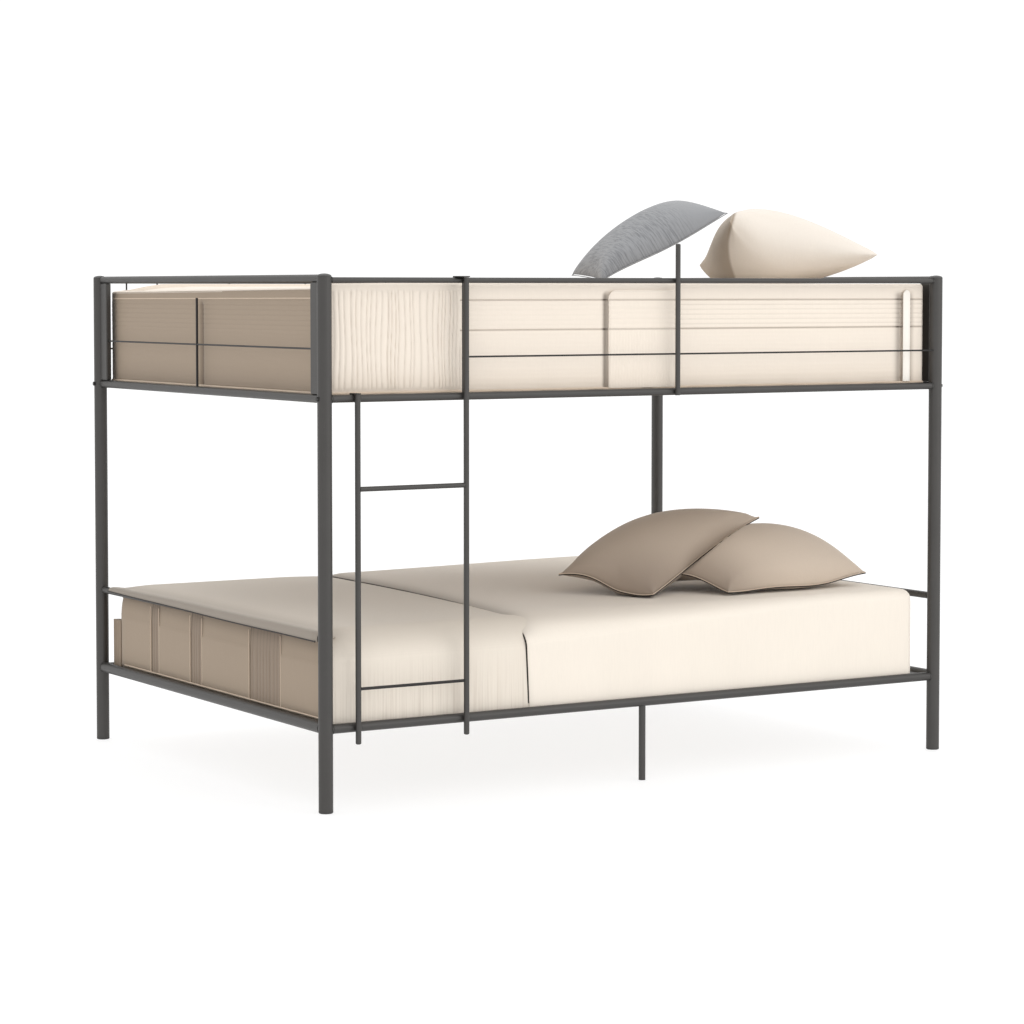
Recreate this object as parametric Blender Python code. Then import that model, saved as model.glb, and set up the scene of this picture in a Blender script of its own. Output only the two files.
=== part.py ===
"""Full-over-full bunk bed in steel tube, with its ladder, mattresses, bedding and pillows.

Metres, +Z up, +X along the bed, +Y away from the ladder side. The origin is on the floor under
the middle of the bed. Every tube is hollow, and a gap of GAP keeps touching pieces apart.
"""

import math

import bmesh
import bpy
from mathutils import Euler, Vector

GAP = 0.0003

# Frame
LENGTH = 2.0  # between post centres along X
WIDTH = 1.44  # between post centres along Y
HEIGHT = 1.385  # floor to the crown of a post's cap
POST_D = 0.038
TUBE_WALL = 0.0015
CAP_CROWN = 0.007
CAP_PLUG = 0.018
FOOT_BASE = 0.006  # the part of a foot that stands below the post
FOOT_ROUND = 0.002
FOOT_PLUG = 0.016

# Rails along the bed, their outer sides in one plane
LOWER_SIDE_D = 0.025
LOWER_SIDE_Z = 0.2159
UPPER_SIDE_D = 0.020
UPPER_SIDE_DROP = 0.3203  # its centre line below the posts' tops
TOP_SIDE_D = 0.014
TOP_SIDE_DROP = 0.0165
MID_ROD_D = 0.005
MID_SIDE_DROP = 0.217

# Rails across the ends
LOWER_END_D = 0.030
LOWER_END_Z = 0.2176
CROSSBAR_D = 0.020
CROSSBAR_RISE = 0.0028  # its centre line above the lower mattress's top
UPPER_END_D = 0.022
UPPER_END_DROP = 0.3206
TOP_END_D = 0.020
TOP_END_DROP = 0.0125
MID_END_DROP = 0.193
STILE_WIDTH = 0.045
STILE_DEPTH = 0.016
STILE_ROUND = 0.003
STAY_D = 0.007
STAY_Y = 0.043
STAY_DROP = 0.0645

# Guards
UPRIGHT_D = 0.014
UPRIGHT_X = 0.078
UPRIGHT_RISE = 0.081  # its top above the posts' tops
BALUSTER_D = 0.005
BALUSTERS_FROM_POST = (0.09, 0.19, 0.43, 0.69)  # on the back guard, from either post
GUARD_END_D = 0.010
LEG_D = 0.019
LEG_X = -0.0235

# Slat decks
SLAT_COUNT = 13
SLAT_WIDTH = 0.040
SLAT_THICK = 0.010
SLAT_FROM_POST = 0.040  # the outermost slats' middle, from the posts' centre line
SPINE_WIDTH = 0.030

# Ladder
LADDER_D = 0.015
LADDER_FROM_POST = 0.0845
LADDER_WIDTH = 0.3225  # between its rails' centres
LADDER_FOOT_Z = 0.176
RUNG_D = 0.013
RUNG_DROP = 0.2327  # below the upper side rail
TIE_D = 0.008
TIE_Z = 0.317
TOP_HOOK_WIDTH = 0.034
TOP_HOOK_OVERHANG = 0.009  # the hook's middle, towards the near post from its rail
LOW_HOOK_WIDTH = 0.014
HOOK_THICK = 0.003
HOOK_CLEARANCE = 0.001
TOP_HOOK_DROP = 0.015
LOW_HOOK_DROP = 0.007

# Bolts through the upper side rails' ends into the posts
BOLT_HEAD_D = 0.012
BOLT_HEAD = 0.004

# Mattresses and bedding
MATTRESS_SIDE_GAP = 0.0075  # to the narrower opening between the lower side rails
UPPER_MATTRESS_END_GAP = 0.025  # from the posts' centre line
UPPER_MATTRESS_THICK = 0.2835
LOWER_MATTRESS_LEFT_GAP = 0.022  # from the left posts' centre line
LOWER_MATTRESS_RIGHT_GAP = 0.073  # from the right posts' centre line
LOWER_MATTRESS_THICK = 0.226
MATTRESS_ROUND = 0.018
COVER_THICK = 0.010
COVER_LIP = 0.004  # the cloth's thickness where it laps over the left crossbar
COVER_LAP_GAP = 0.0008  # between that cloth and the crossbar
COVER_LAP_DROP = 0.022  # from the lap's top to its hem
COVER_LAP_STOP = 0.075  # from the back posts' centre line to the lap's end
COVER_POST_GAP = 0.001  # from the front post to the lap
DUVET_THICK = 0.016
DUVET_DRAPE = 0.010
DUVET_HEM_GAP = 0.0015  # above the lower side rail
DUVET_BACK_FROM_POST = 1.24  # the duvet's left edge, from the right posts' centre line
DUVET_FRONT_FROM_POST = 1.40
DUVET_ROUND = 0.012

# Pillows: length, width, crown above and below the seam, and how much it thins to its far end
PILLOW_PINCH = 0.05
PILLOW_CELLS = 12
PILLOW_DENT = 0.002  # clearance where one pillow lies on another
PILLOWS = {
    "pillow_lower_left": {
        "size": (0.614, 0.406, 0.0935, 0.105), "taper": 0.0,
        "from_post": 0.658, "from_front": 0.443, "above_bed": 0.1195, "turn": (35.2, -6.2, -10.9),
    },
    "pillow_lower_right": {
        "size": (0.600, 0.400, 0.115, 0.064), "taper": 0.0,
        "from_post": 0.415, "from_front": 0.310, "above_bed": 0.0705, "turn": (5.0, 2.0, 6.0),
    },
    "pillow_upper_grey": {
        "size": (0.395, 0.345, 0.083, 0.028), "taper": 0.0,
        "from_post": 0.764, "from_front": 0.360, "above_bed": 0.1187,
        "turn": (-15.8, -31.6, 6.4),
    },
    "pillow_upper_cream": {
        "size": (0.471, 0.350, 0.113, 0.100), "taper": 0.478,
        "from_post": 0.313, "from_front": 0.312, "above_bed": 0.1032, "turn": (-22.6, 4.6, -1.8),
    },
}

POST_R = POST_D / 2
HALF_X = LENGTH / 2
HALF_Y = WIDTH / 2
FRONT_PLANE = HALF_Y + LOWER_SIDE_D / 2  # the outer side of every rail along the bed
UPPER_SIDE_Z = HEIGHT - UPPER_SIDE_DROP
TOP_SIDE_Z = HEIGHT - TOP_SIDE_DROP
MID_SIDE_Z = HEIGHT - MID_SIDE_DROP
UPPER_END_Z = HEIGHT - UPPER_END_DROP
TOP_END_Z = HEIGHT - TOP_END_DROP
MID_END_Z = HEIGHT - MID_END_DROP
STAY_TOP = HEIGHT - STAY_DROP
UPRIGHT_TOP = HEIGHT + UPRIGHT_RISE
RUNG_Z = UPPER_SIDE_Z - RUNG_DROP
LADDER_Y = FRONT_PLANE + GAP + LADDER_D / 2
LADDER_LEFT_X = LADDER_FROM_POST - HALF_X
LADDER_RIGHT_X = LADDER_LEFT_X + LADDER_WIDTH
MATTRESS_HALF_WIDTH = FRONT_PLANE - LOWER_SIDE_D - MATTRESS_SIDE_GAP
MATTRESS_RIGHT_X = HALF_X - LOWER_MATTRESS_RIGHT_GAP
UPPER_DECK_TOP = UPPER_SIDE_Z + SLAT_THICK / 2 + GAP
LOWER_DECK_TOP = LOWER_SIDE_Z + SLAT_THICK / 2 + GAP
UPPER_BED_TOP = UPPER_DECK_TOP + UPPER_MATTRESS_THICK
LOWER_BED_TOP = LOWER_DECK_TOP + LOWER_MATTRESS_THICK
CROSSBAR_Z = LOWER_BED_TOP + CROSSBAR_RISE
COVER_LOW = LOWER_BED_TOP + GAP
COVER_TOP = COVER_LOW + COVER_THICK
DUVET_TOP = COVER_TOP + GAP + DUVET_THICK
TUBE_SIDES = 20
ROD_SIDES = 12
TAU = 2 * math.pi

STEEL = ("gunmetal_steel", (0.072, 0.069, 0.067, 1.0), 0.42, 0.85)
CAP = ("cap_plastic", (0.060, 0.058, 0.056, 1.0), 0.5, 0.0)
RUBBER = ("foot_rubber", (0.020, 0.020, 0.020, 1.0), 0.8, 0.0)
BLACK = ("bolt_black", (0.050, 0.048, 0.047, 1.0), 0.4, 0.85)
CREAM = ("cream_knit", (0.86, 0.80, 0.72, 1.0), 0.9, 0.0)
COVER = ("cover_fabric", (0.58, 0.52, 0.45, 1.0), 0.9, 0.0)
DUVET = ("duvet_cotton", (0.88, 0.83, 0.75, 1.0), 0.85, 0.0)
TAUPE = ("pillow_taupe", (0.44, 0.36, 0.29, 1.0), 0.85, 0.0)
GREY = ("pillow_grey", (0.30, 0.31, 0.32, 1.0), 0.85, 0.0)


def clear_scene():
    for item in list(bpy.data.objects):
        bpy.data.objects.remove(item, do_unlink=True)


def material(spec):
    """A Principled material of this name, made once."""
    name, colour, roughness, metallic = spec
    made = bpy.data.materials.get(name)
    if made is None:
        made = bpy.data.materials.new(name)
        made.use_nodes = True
        shader = made.node_tree.nodes["Principled BSDF"]
        shader.inputs["Base Color"].default_value = colour
        shader.inputs["Roughness"].default_value = roughness
        shader.inputs["Metallic"].default_value = metallic
        made.diffuse_color = colour
    return made


def add_object(name, bm, spec, smooth=math.radians(35)):
    """Turns a bmesh into a named object with its material, round faces smooth."""
    mesh = bpy.data.meshes.new(name)
    bmesh.ops.recalc_face_normals(bm, faces=bm.faces)
    bm.to_mesh(mesh)
    bm.free()
    mesh.shade_smooth()
    mesh.set_sharp_from_angle(angle=smooth)
    mesh.materials.append(material(spec))
    made = bpy.data.objects.new(name, mesh)
    bpy.context.scene.collection.objects.link(made)
    return made


def against(cross, centre, radius):
    """An end cut to the round side of a tube: its centre on the other axis `cross`, and its radius."""
    return cross, centre, radius


def end_place(base, point, cut, side):
    """Where one wall line of a tube ends: flat at base, or on the tube that it meets there."""
    if cut is None:
        return base
    cross, centre, radius = cut
    reach = (radius + GAP) ** 2 - (point[cross] - centre) ** 2
    return base + side * math.sqrt(max(reach, 0.0))


def tube(name, axis, centre, start, end, diameter, spec=STEEL, wall=TUBE_WALL, sides=TUBE_SIDES,
         cut_start=None, cut_end=None):
    """A tube along axis (0, 1 or 2) through centre, or a solid rod with flat ends where wall is None."""
    bm = bmesh.new()
    first, second = [(1, 2), (2, 0), (0, 1)][axis]
    radii = [diameter / 2] if wall is None else [diameter / 2, diameter / 2 - wall]
    rings = []
    for radius in radii:
        lines = []
        for step in range(sides):
            turn = TAU * (step + 0.5) / sides
            point = [0.0, 0.0, 0.0]
            point[first] = centre[first] + radius * math.cos(turn)
            point[second] = centre[second] + radius * math.sin(turn)
            low = end_place(start, point, cut_start, 1)
            high = end_place(end, point, cut_end, -1)
            lines.append((point, low, high))
        if wall is None:
            low = max(line[1] for line in lines)
            high = min(line[2] for line in lines)
            lines = [(point, low, high) for point, _, _ in lines]
        ends = [[], []]
        for point, low, high in lines:
            for which, place in enumerate((low, high)):
                point[axis] = place
                ends[which].append(bm.verts.new(point))
        rings.append(ends)
    for ends in rings:
        for step in range(sides):
            after = (step + 1) % sides
            bm.faces.new((ends[0][step], ends[0][after], ends[1][after], ends[1][step]))
    for which in (0, 1):
        if wall is None:
            bm.faces.new(rings[0][which])
            continue
        outer, inner = rings[0][which], rings[1][which]
        for step in range(sides):
            after = (step + 1) % sides
            bm.faces.new((outer[step], outer[after], inner[after], inner[step]))
    return add_object(name, bm, spec)


def turned(name, profile, place, spec, sides=TUBE_SIDES):
    """A closed turned piece about a vertical axis; profile runs from axis to axis as (radius, z)."""
    bm = bmesh.new()
    rings = []
    for radius, height in profile:
        if radius < GAP:
            rings.append([bm.verts.new((place[0], place[1], height))])
            continue
        ring = []
        for step in range(sides):
            turn = TAU * (step + 0.5) / sides
            ring.append(bm.verts.new((place[0] + radius * math.cos(turn),
                                      place[1] + radius * math.sin(turn), height)))
        rings.append(ring)
    for low, high in zip(rings, rings[1:]):
        for step in range(sides):
            after = (step + 1) % sides
            corners = [low[step % len(low)], low[after % len(low)],
                       high[after % len(high)], high[step % len(high)]]
            unique = list(dict.fromkeys(corners))
            bm.faces.new(unique)
    return add_object(name, bm, spec)


def block(name, low, high, spec, rounding=0.0, segments=2):
    """A closed box between two corners, its edges rounded."""
    bm = bmesh.new()
    bmesh.ops.create_cube(bm, size=1.0)
    for vert in bm.verts:
        for axis in range(3):
            vert.co[axis] = low[axis] if vert.co[axis] < 0 else high[axis]
    if rounding:
        bmesh.ops.bevel(bm, geom=list(bm.edges), offset=rounding, segments=segments,
                        profile=0.5, affect="EDGES", clamp_overlap=True)
    return add_object(name, bm, spec)


def extruded(name, corners, reach, spec):
    """A closed bar of the outline corners, as long as reach."""
    bm = bmesh.new()
    face = bm.faces.new([bm.verts.new(corner) for corner in corners])
    raised = bmesh.ops.extrude_face_region(bm, geom=[face], use_keep_orig=True)
    far = [item for item in raised["geom"] if isinstance(item, bmesh.types.BMVert)]
    bmesh.ops.translate(bm, verts=far, vec=reach)
    return add_object(name, bm, spec)


def cut_away(target, cutter, operation="DIFFERENCE"):
    """Applies a Boolean of cutter to target, and removes the cutter."""
    made = target.modifiers.new(operation.lower(), "BOOLEAN")
    made.operation = operation
    made.solver = "EXACT"
    made.object = cutter
    bpy.context.view_layer.update()
    graph = bpy.context.evaluated_depsgraph_get()
    mesh = bpy.data.meshes.new_from_object(target.evaluated_get(graph))
    target.modifiers.remove(made)
    target.data = mesh
    bpy.data.objects.remove(cutter, do_unlink=True)
    return target


def rail_y(diameter, side):
    """The centre line's Y of a rail whose outer side is on the front or the back plane."""
    return side * (FRONT_PLANE - diameter / 2)


def side_rail(name, diameter, height, side, wall=TUBE_WALL, sides=TUBE_SIDES):
    """A rail along the bed, cut to the posts at both ends."""
    y = rail_y(diameter, side)
    cut = against(1, side * HALF_Y, POST_R)
    return tube(name, 0, (0, y, height), -HALF_X, HALF_X, diameter, wall=wall, sides=sides,
                cut_start=cut, cut_end=cut)


def end_rail(name, diameter, height, side, wall=TUBE_WALL, sides=TUBE_SIDES, inset=0.0):
    """A rail across one end, cut to its posts, or to flat ends set in by inset."""
    x = side * HALF_X
    if inset:
        reach = HALF_Y - inset
        return tube(name, 1, (x, 0, height), -reach, reach, diameter, wall=wall, sides=sides)
    cut = against(0, x, POST_R)
    return tube(name, 1, (x, 0, height), -HALF_Y, HALF_Y, diameter, wall=wall, sides=sides,
                cut_start=cut, cut_end=cut)


def make_posts():
    post_top = HEIGHT - CAP_CROWN
    plug = POST_R - TUBE_WALL - GAP
    for end, x in (("left", -HALF_X), ("right", HALF_X)):
        for side, y in (("front", -HALF_Y), ("back", HALF_Y)):
            label = f"{side}_{end}"
            tube(f"post_{label}", 2, (x, y, 0), FOOT_BASE + GAP, post_top - GAP, POST_D, sides=28)
            crown = [(0.0, post_top - CAP_PLUG), (plug, post_top - CAP_PLUG), (plug, post_top),
                     (POST_R, post_top)]
            for step in range(1, 6):
                turn = step / 5 * math.pi / 2
                crown.append((POST_R * math.cos(turn), post_top + CAP_CROWN * math.sin(turn)))
            turned(f"post_cap_{label}", crown, (x, y), CAP, sides=28)
            foot = [(0.0, 0.0), (POST_R - FOOT_ROUND, 0.0), (POST_R, FOOT_ROUND), (POST_R, FOOT_BASE),
                    (plug, FOOT_BASE), (plug, FOOT_BASE + FOOT_PLUG), (0.0, FOOT_BASE + FOOT_PLUG)]
            turned(f"foot_cap_{label}", foot, (x, y), RUBBER, sides=28)


def make_end_frames():
    for end, side in (("left", -1), ("right", 1)):
        end_rail(f"end_top_rail_{end}", TOP_END_D, TOP_END_Z, side)
        end_rail(f"end_upper_rail_{end}", UPPER_END_D, UPPER_END_Z, side)
        end_rail(f"end_lower_rail_{end}", LOWER_END_D, LOWER_END_Z, side)
        end_rail(f"end_crossbar_{end}", CROSSBAR_D, CROSSBAR_Z, side)
        stile_inner = POST_R + GAP + STILE_WIDTH
        low = UPPER_END_Z + UPPER_END_D / 2 + GAP
        high = TOP_END_Z - TOP_END_D / 2 - GAP
        for which, towards in (("front", -1), ("back", 1)):
            y_out = towards * (HALF_Y - POST_R - GAP)
            y_in = towards * (HALF_Y - stile_inner)
            x = side * HALF_X
            block(f"end_stile_{end}_{which}", (x - STILE_DEPTH / 2, min(y_out, y_in), low),
                  (x + STILE_DEPTH / 2, max(y_out, y_in), high), STEEL, STILE_ROUND, 2)
        rod = end_rail(f"end_mid_rod_{end}", MID_ROD_D, MID_END_Z, side, wall=None,
                       sides=ROD_SIDES, inset=stile_inner + GAP)
        stay = tube(f"{end}_stay_part", 2, (side * HALF_X, STAY_Y, 0),
                    UPPER_END_Z, STAY_TOP, STAY_D, wall=None, sides=ROD_SIDES,
                    cut_start=against(0, side * HALF_X, UPPER_END_D / 2))
        cut_away(rod, stay, "UNION")


def make_side_frames():
    for which, side in (("front", -1), ("back", 1)):
        side_rail(f"lower_side_rail_{which}", LOWER_SIDE_D, LOWER_SIDE_Z, side)
        side_rail(f"upper_side_rail_{which}", UPPER_SIDE_D, UPPER_SIDE_Z, side)
        side_rail(f"top_side_rail_{which}", TOP_SIDE_D, TOP_SIDE_Z, side)
        tube(f"centre_leg_{which}", 2, (LEG_X, side * HALF_Y, 0), 0.0, LOWER_SIDE_Z, LEG_D,
             cut_end=against(1, side * HALF_Y, LOWER_SIDE_D / 2))
    upright_y = FRONT_PLANE + GAP + UPRIGHT_D / 2
    upright_low = UPPER_SIDE_Z - UPPER_SIDE_D / 2
    tube("guard_upright_front", 2, (UPRIGHT_X, -upright_y, 0), upright_low, UPRIGHT_TOP, UPRIGHT_D)
    tube("guard_upright_back", 2, (UPRIGHT_X, upright_y, 0), upright_low,
         TOP_SIDE_Z + TOP_SIDE_D / 2, UPRIGHT_D)
    make_front_guard()
    make_back_guard()


def make_front_guard():
    """The front guard's thin rod, and the upright that carries its entry end."""
    rod_y = rail_y(MID_ROD_D, -1)
    end_y = rail_y(GUARD_END_D, -1)
    tube("guard_mid_rod_front", 0, (0, rod_y, MID_SIDE_Z), LADDER_RIGHT_X + GUARD_END_D / 2 + GAP,
         HALF_X, MID_ROD_D, wall=None, sides=ROD_SIDES, cut_end=against(1, -HALF_Y, POST_R))
    tube("guard_end_upright", 2, (LADDER_RIGHT_X, end_y, 0), UPPER_SIDE_Z, TOP_SIDE_Z, GUARD_END_D,
         wall=None, sides=ROD_SIDES,
         cut_start=against(1, rail_y(UPPER_SIDE_D, -1), UPPER_SIDE_D / 2),
         cut_end=against(1, rail_y(TOP_SIDE_D, -1), TOP_SIDE_D / 2))


def make_back_guard():
    """The thin rod of the back guard with its balusters, one welded grid."""
    guard = side_rail("guard_grid_back", MID_ROD_D, MID_SIDE_Z, 1, wall=None, sides=ROD_SIDES)
    rod_y = rail_y(MID_ROD_D, 1)
    for inset in BALUSTERS_FROM_POST:
        for x in (inset - HALF_X, HALF_X - inset):
            part = tube("baluster_part", 2, (x, rod_y, 0), UPPER_SIDE_Z, TOP_SIDE_Z, BALUSTER_D,
                        wall=None, sides=8,
                        cut_start=against(1, rail_y(UPPER_SIDE_D, 1), UPPER_SIDE_D / 2),
                        cut_end=against(1, rail_y(TOP_SIDE_D, 1), TOP_SIDE_D / 2))
            cut_away(guard, part, "UNION")


def make_slat_deck(name, rail_d, rail_z, end_d):
    """Slats across the bed welded to two spines along it, one flat grid between the rails."""
    half_y = FRONT_PLANE - rail_d - GAP
    half_x = HALF_X - end_d / 2 - GAP
    first = SLAT_FROM_POST - HALF_X
    pitch = -2 * first / (SLAT_COUNT - 1)
    x_lines = [-half_x]
    for step in range(SLAT_COUNT):
        middle = first + pitch * step
        x_lines += [middle - SLAT_WIDTH / 2, middle + SLAT_WIDTH / 2]
    x_lines.append(half_x)
    spine = half_y / 2
    y_lines = [-half_y, -spine - SPINE_WIDTH / 2, -spine + SPINE_WIDTH / 2,
               spine - SPINE_WIDTH / 2, spine + SPINE_WIDTH / 2, half_y]
    bm = bmesh.new()
    low = rail_z - SLAT_THICK / 2
    grid = [[bm.verts.new((x, y, low)) for y in y_lines] for x in x_lines]
    for i in range(len(x_lines) - 1):
        for j in range(len(y_lines) - 1):
            if i % 2 or j % 2:
                bm.faces.new((grid[i][j], grid[i + 1][j], grid[i + 1][j + 1], grid[i][j + 1]))
    loose = [vert for vert in bm.verts if not vert.link_faces]
    bmesh.ops.delete(bm, geom=loose, context="VERTS")
    raised = bmesh.ops.extrude_face_region(bm, geom=list(bm.faces), use_keep_orig=True)
    top = [item for item in raised["geom"] if isinstance(item, bmesh.types.BMVert)]
    bmesh.ops.translate(bm, verts=top, vec=(0, 0, SLAT_THICK))
    return add_object(name, bm, STEEL)


def make_hook(name, middle, width, rail_z, rail_d, drop):
    """A bent strap over a side rail, welded on the top end of a ladder rail."""
    under = rail_z + rail_d / 2 + HOOK_CLEARANCE
    outer = -(LADDER_Y + LADDER_D / 2)
    inner = rail_y(rail_d, -1) + rail_d / 2 + HOOK_CLEARANCE
    over = under + HOOK_THICK
    tip = over - drop
    profile = [(outer, under), (inner, under), (inner, tip), (inner + HOOK_THICK, tip),
               (inner + HOOK_THICK, over), (outer, over)]
    corners = [(middle - width / 2, y, z) for y, z in profile]
    return extruded(name, corners, (width, 0, 0), STEEL)


def make_ladder():
    """Two rails in front of the side rails, with one rung and a thin tie low down."""
    low_hook = UPPER_SIDE_Z + UPPER_SIDE_D / 2 + HOOK_CLEARANCE
    top_hook = TOP_SIDE_Z + TOP_SIDE_D / 2 + HOOK_CLEARANCE
    for name, x, top in (("ladder_rail_left", LADDER_LEFT_X, low_hook),
                         ("ladder_rail_right", LADDER_RIGHT_X, top_hook)):
        tube(name, 2, (x, -LADDER_Y, 0), LADDER_FOOT_Z, top - GAP, LADDER_D)
    for name, height, diameter, wall in (("ladder_rung", RUNG_Z, RUNG_D, TUBE_WALL),
                                         ("ladder_tie", TIE_Z, TIE_D, None)):
        cut = against(1, -LADDER_Y, LADDER_D / 2)
        tube(name, 0, (0, -LADDER_Y, height), LADDER_LEFT_X, LADDER_RIGHT_X, diameter, wall=wall,
             sides=16, cut_start=cut, cut_end=cut)
    make_hook("ladder_hook_low", LADDER_LEFT_X, LOW_HOOK_WIDTH, UPPER_SIDE_Z, UPPER_SIDE_D,
              LOW_HOOK_DROP)
    make_hook("ladder_hook_top", LADDER_RIGHT_X - TOP_HOOK_OVERHANG, TOP_HOOK_WIDTH, TOP_SIDE_Z,
              TOP_SIDE_D, TOP_HOOK_DROP)


def make_bolts():
    """Hexagon heads on the posts' end faces, which pull the upper side rails in."""
    for end, x in (("left", -1), ("right", 1)):
        for side, y in (("front", -1), ("back", 1)):
            start = x * (HALF_X + POST_R + GAP)
            reach = start + x * BOLT_HEAD
            tube(f"rail_bolt_{side}_{end}", 0, (0, y * HALF_Y, UPPER_SIDE_Z),
                 min(start, reach), max(start, reach), BOLT_HEAD_D, spec=BLACK, wall=None, sides=6)


def make_mattresses():
    """Both mattresses, the cover on the lower one and the duvet over its right part."""
    reach = HALF_X - UPPER_MATTRESS_END_GAP
    block("upper_mattress", (-reach, -MATTRESS_HALF_WIDTH, UPPER_DECK_TOP),
          (reach, MATTRESS_HALF_WIDTH, UPPER_BED_TOP), CREAM, MATTRESS_ROUND, 3)
    left = LOWER_MATTRESS_LEFT_GAP - HALF_X
    block("lower_mattress", (left, -MATTRESS_HALF_WIDTH, LOWER_DECK_TOP),
          (MATTRESS_RIGHT_X, MATTRESS_HALF_WIDTH, LOWER_BED_TOP), CREAM, MATTRESS_ROUND, 3)
    make_cover(left)
    make_duvet()


def make_cover(left):
    """A flat cover whose left end laps over the crossbar there."""
    bar_r = CROSSBAR_D / 2 + COVER_LAP_GAP
    inner = -HALF_X + bar_r
    over = CROSSBAR_Z + bar_r
    outer = -HALF_X - bar_r
    hem = over + COVER_LIP - COVER_LAP_DROP
    y = -MATTRESS_HALF_WIDTH
    lap_start = POST_R + COVER_POST_GAP - HALF_Y
    flat = [(MATTRESS_RIGHT_X, COVER_LOW), (MATTRESS_RIGHT_X, COVER_TOP), (left, COVER_TOP),
            (left, COVER_LOW)]
    cover = extruded("lower_cover", [(x, y, z) for x, z in flat], (0, 2 * MATTRESS_HALF_WIDTH, 0), COVER)
    lap = [(left + COVER_LIP, COVER_LOW), (left + COVER_LIP, over + COVER_LIP),
           (outer - COVER_LIP, over + COVER_LIP), (outer - COVER_LIP, hem), (outer, hem), (outer, over),
           (inner, over), (inner, COVER_LOW)]
    reach = HALF_Y - COVER_LAP_STOP - lap_start
    part = extruded("lap_part", [(x, lap_start, z) for x, z in lap], (0, reach, 0), COVER)
    return cut_away(cover, part, "UNION")


def make_duvet():
    """A slab with a drape down the front, the back and the right end, its left edge slanting."""
    side = MATTRESS_HALF_WIDTH + GAP
    end = MATTRESS_RIGHT_X + GAP
    out_y = side + DUVET_DRAPE
    out_x = end + DUVET_DRAPE
    hem = LOWER_SIDE_Z + LOWER_SIDE_D / 2 + DUVET_HEM_GAP
    back_x = HALF_X - DUVET_BACK_FROM_POST
    front_x = HALF_X - DUVET_FRONT_FROM_POST
    bm = bmesh.new()
    outline = [(front_x, -out_y), (out_x, -out_y), (out_x, out_y), (back_x, out_y)]
    face = bm.faces.new([bm.verts.new((x, y, hem)) for x, y in outline])
    raised = bmesh.ops.extrude_face_region(bm, geom=[face], use_keep_orig=True)
    far = [item for item in raised["geom"] if isinstance(item, bmesh.types.BMVert)]
    bmesh.ops.translate(bm, verts=far, vec=(0, 0, DUVET_TOP - hem))
    bmesh.ops.recalc_face_normals(bm, faces=bm.faces)
    top_edges = [edge for edge in bm.edges if all(vert.co.z > COVER_TOP for vert in edge.verts)]
    bmesh.ops.bevel(bm, geom=top_edges, offset=DUVET_ROUND, segments=3, profile=0.5, affect="EDGES")
    duvet = add_object("duvet", bm, DUVET)
    inner = block("duvet_inner_part", (-LENGTH, -side, 0), (end, side, COVER_TOP + GAP), DUVET)
    return cut_away(duvet, inner)


def make_pillow(name, bed_top, grow=0.0):
    """A crowned cushion with pinched corners, turned as it lies; grow swells it all round."""
    spec = PILLOWS[name]
    length, width, above, below = spec["size"]
    count = PILLOW_CELLS
    yaw, pitch, roll = (math.radians(turn) for turn in spec["turn"])
    turned_by = Euler((roll, pitch, yaw), "XYZ").to_matrix()
    place = Vector((HALF_X - spec["from_post"], spec["from_front"] - HALF_Y,
                    bed_top + spec["above_bed"]))
    bm = bmesh.new()
    sheets = {}
    for side, crown in ((1, above), (-1, below)):
        for i in range(count + 1):
            for j in range(count + 1):
                rim = i in (0, count) or j in (0, count)
                if rim and side < 0:
                    sheets[side, i, j] = sheets[1, i, j]
                    continue
                u = math.sin((i / count - 0.5) * math.pi)
                v = math.sin((j / count - 0.5) * math.pi)
                dome = math.sqrt(max((1 - u * u) * (1 - v * v), 0)) * (1 - spec["taper"] * u)
                point = Vector((
                    (length / 2 + grow) * u * (1 - PILLOW_PINCH * (1 - v * v) * u * u),
                    (width / 2 + grow) * v * (1 - PILLOW_PINCH * (1 - u * u) * v * v),
                    side * dome * (crown + grow),
                ))
                sheets[side, i, j] = bm.verts.new(turned_by @ point + place)
    for side in (1, -1):
        for i in range(count):
            for j in range(count):
                corners = ((i, j), (i + 1, j), (i + 1, j + 1), (i, j + 1))
                bm.faces.new([sheets[side, *corner] for corner in corners])
    colour = {"pillow_upper_grey": GREY, "pillow_upper_cream": DUVET}.get(name, TAUPE)
    return add_object(name if not grow else name + "_part", bm, colour, math.radians(60))


def make_pillows():
    """The lower pair and the upper pair, each pair's second pillow dented by its first."""
    for top, on_top, beneath in (
        (DUVET_TOP + GAP, "pillow_lower_left", "pillow_lower_right"),
        (UPPER_BED_TOP + GAP, "pillow_upper_grey", "pillow_upper_cream"),
    ):
        for name in (on_top, beneath):
            pillow = make_pillow(name, top)
            if name == beneath:
                cut_away(pillow, make_pillow(on_top, top, PILLOW_DENT))
            bed = block("bed_part", (-LENGTH, -WIDTH, 0), (LENGTH, WIDTH, top), DUVET)
            cut_away(pillow, bed)


def main():
    clear_scene()
    make_posts()
    make_end_frames()
    make_side_frames()
    make_slat_deck("slat_deck_lower", LOWER_SIDE_D, LOWER_SIDE_Z, LOWER_END_D)
    make_slat_deck("slat_deck_upper", UPPER_SIDE_D, UPPER_SIDE_Z, UPPER_END_D)
    make_ladder()
    make_bolts()
    make_mattresses()
    make_pillows()


main()
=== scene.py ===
import math
import random

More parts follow.
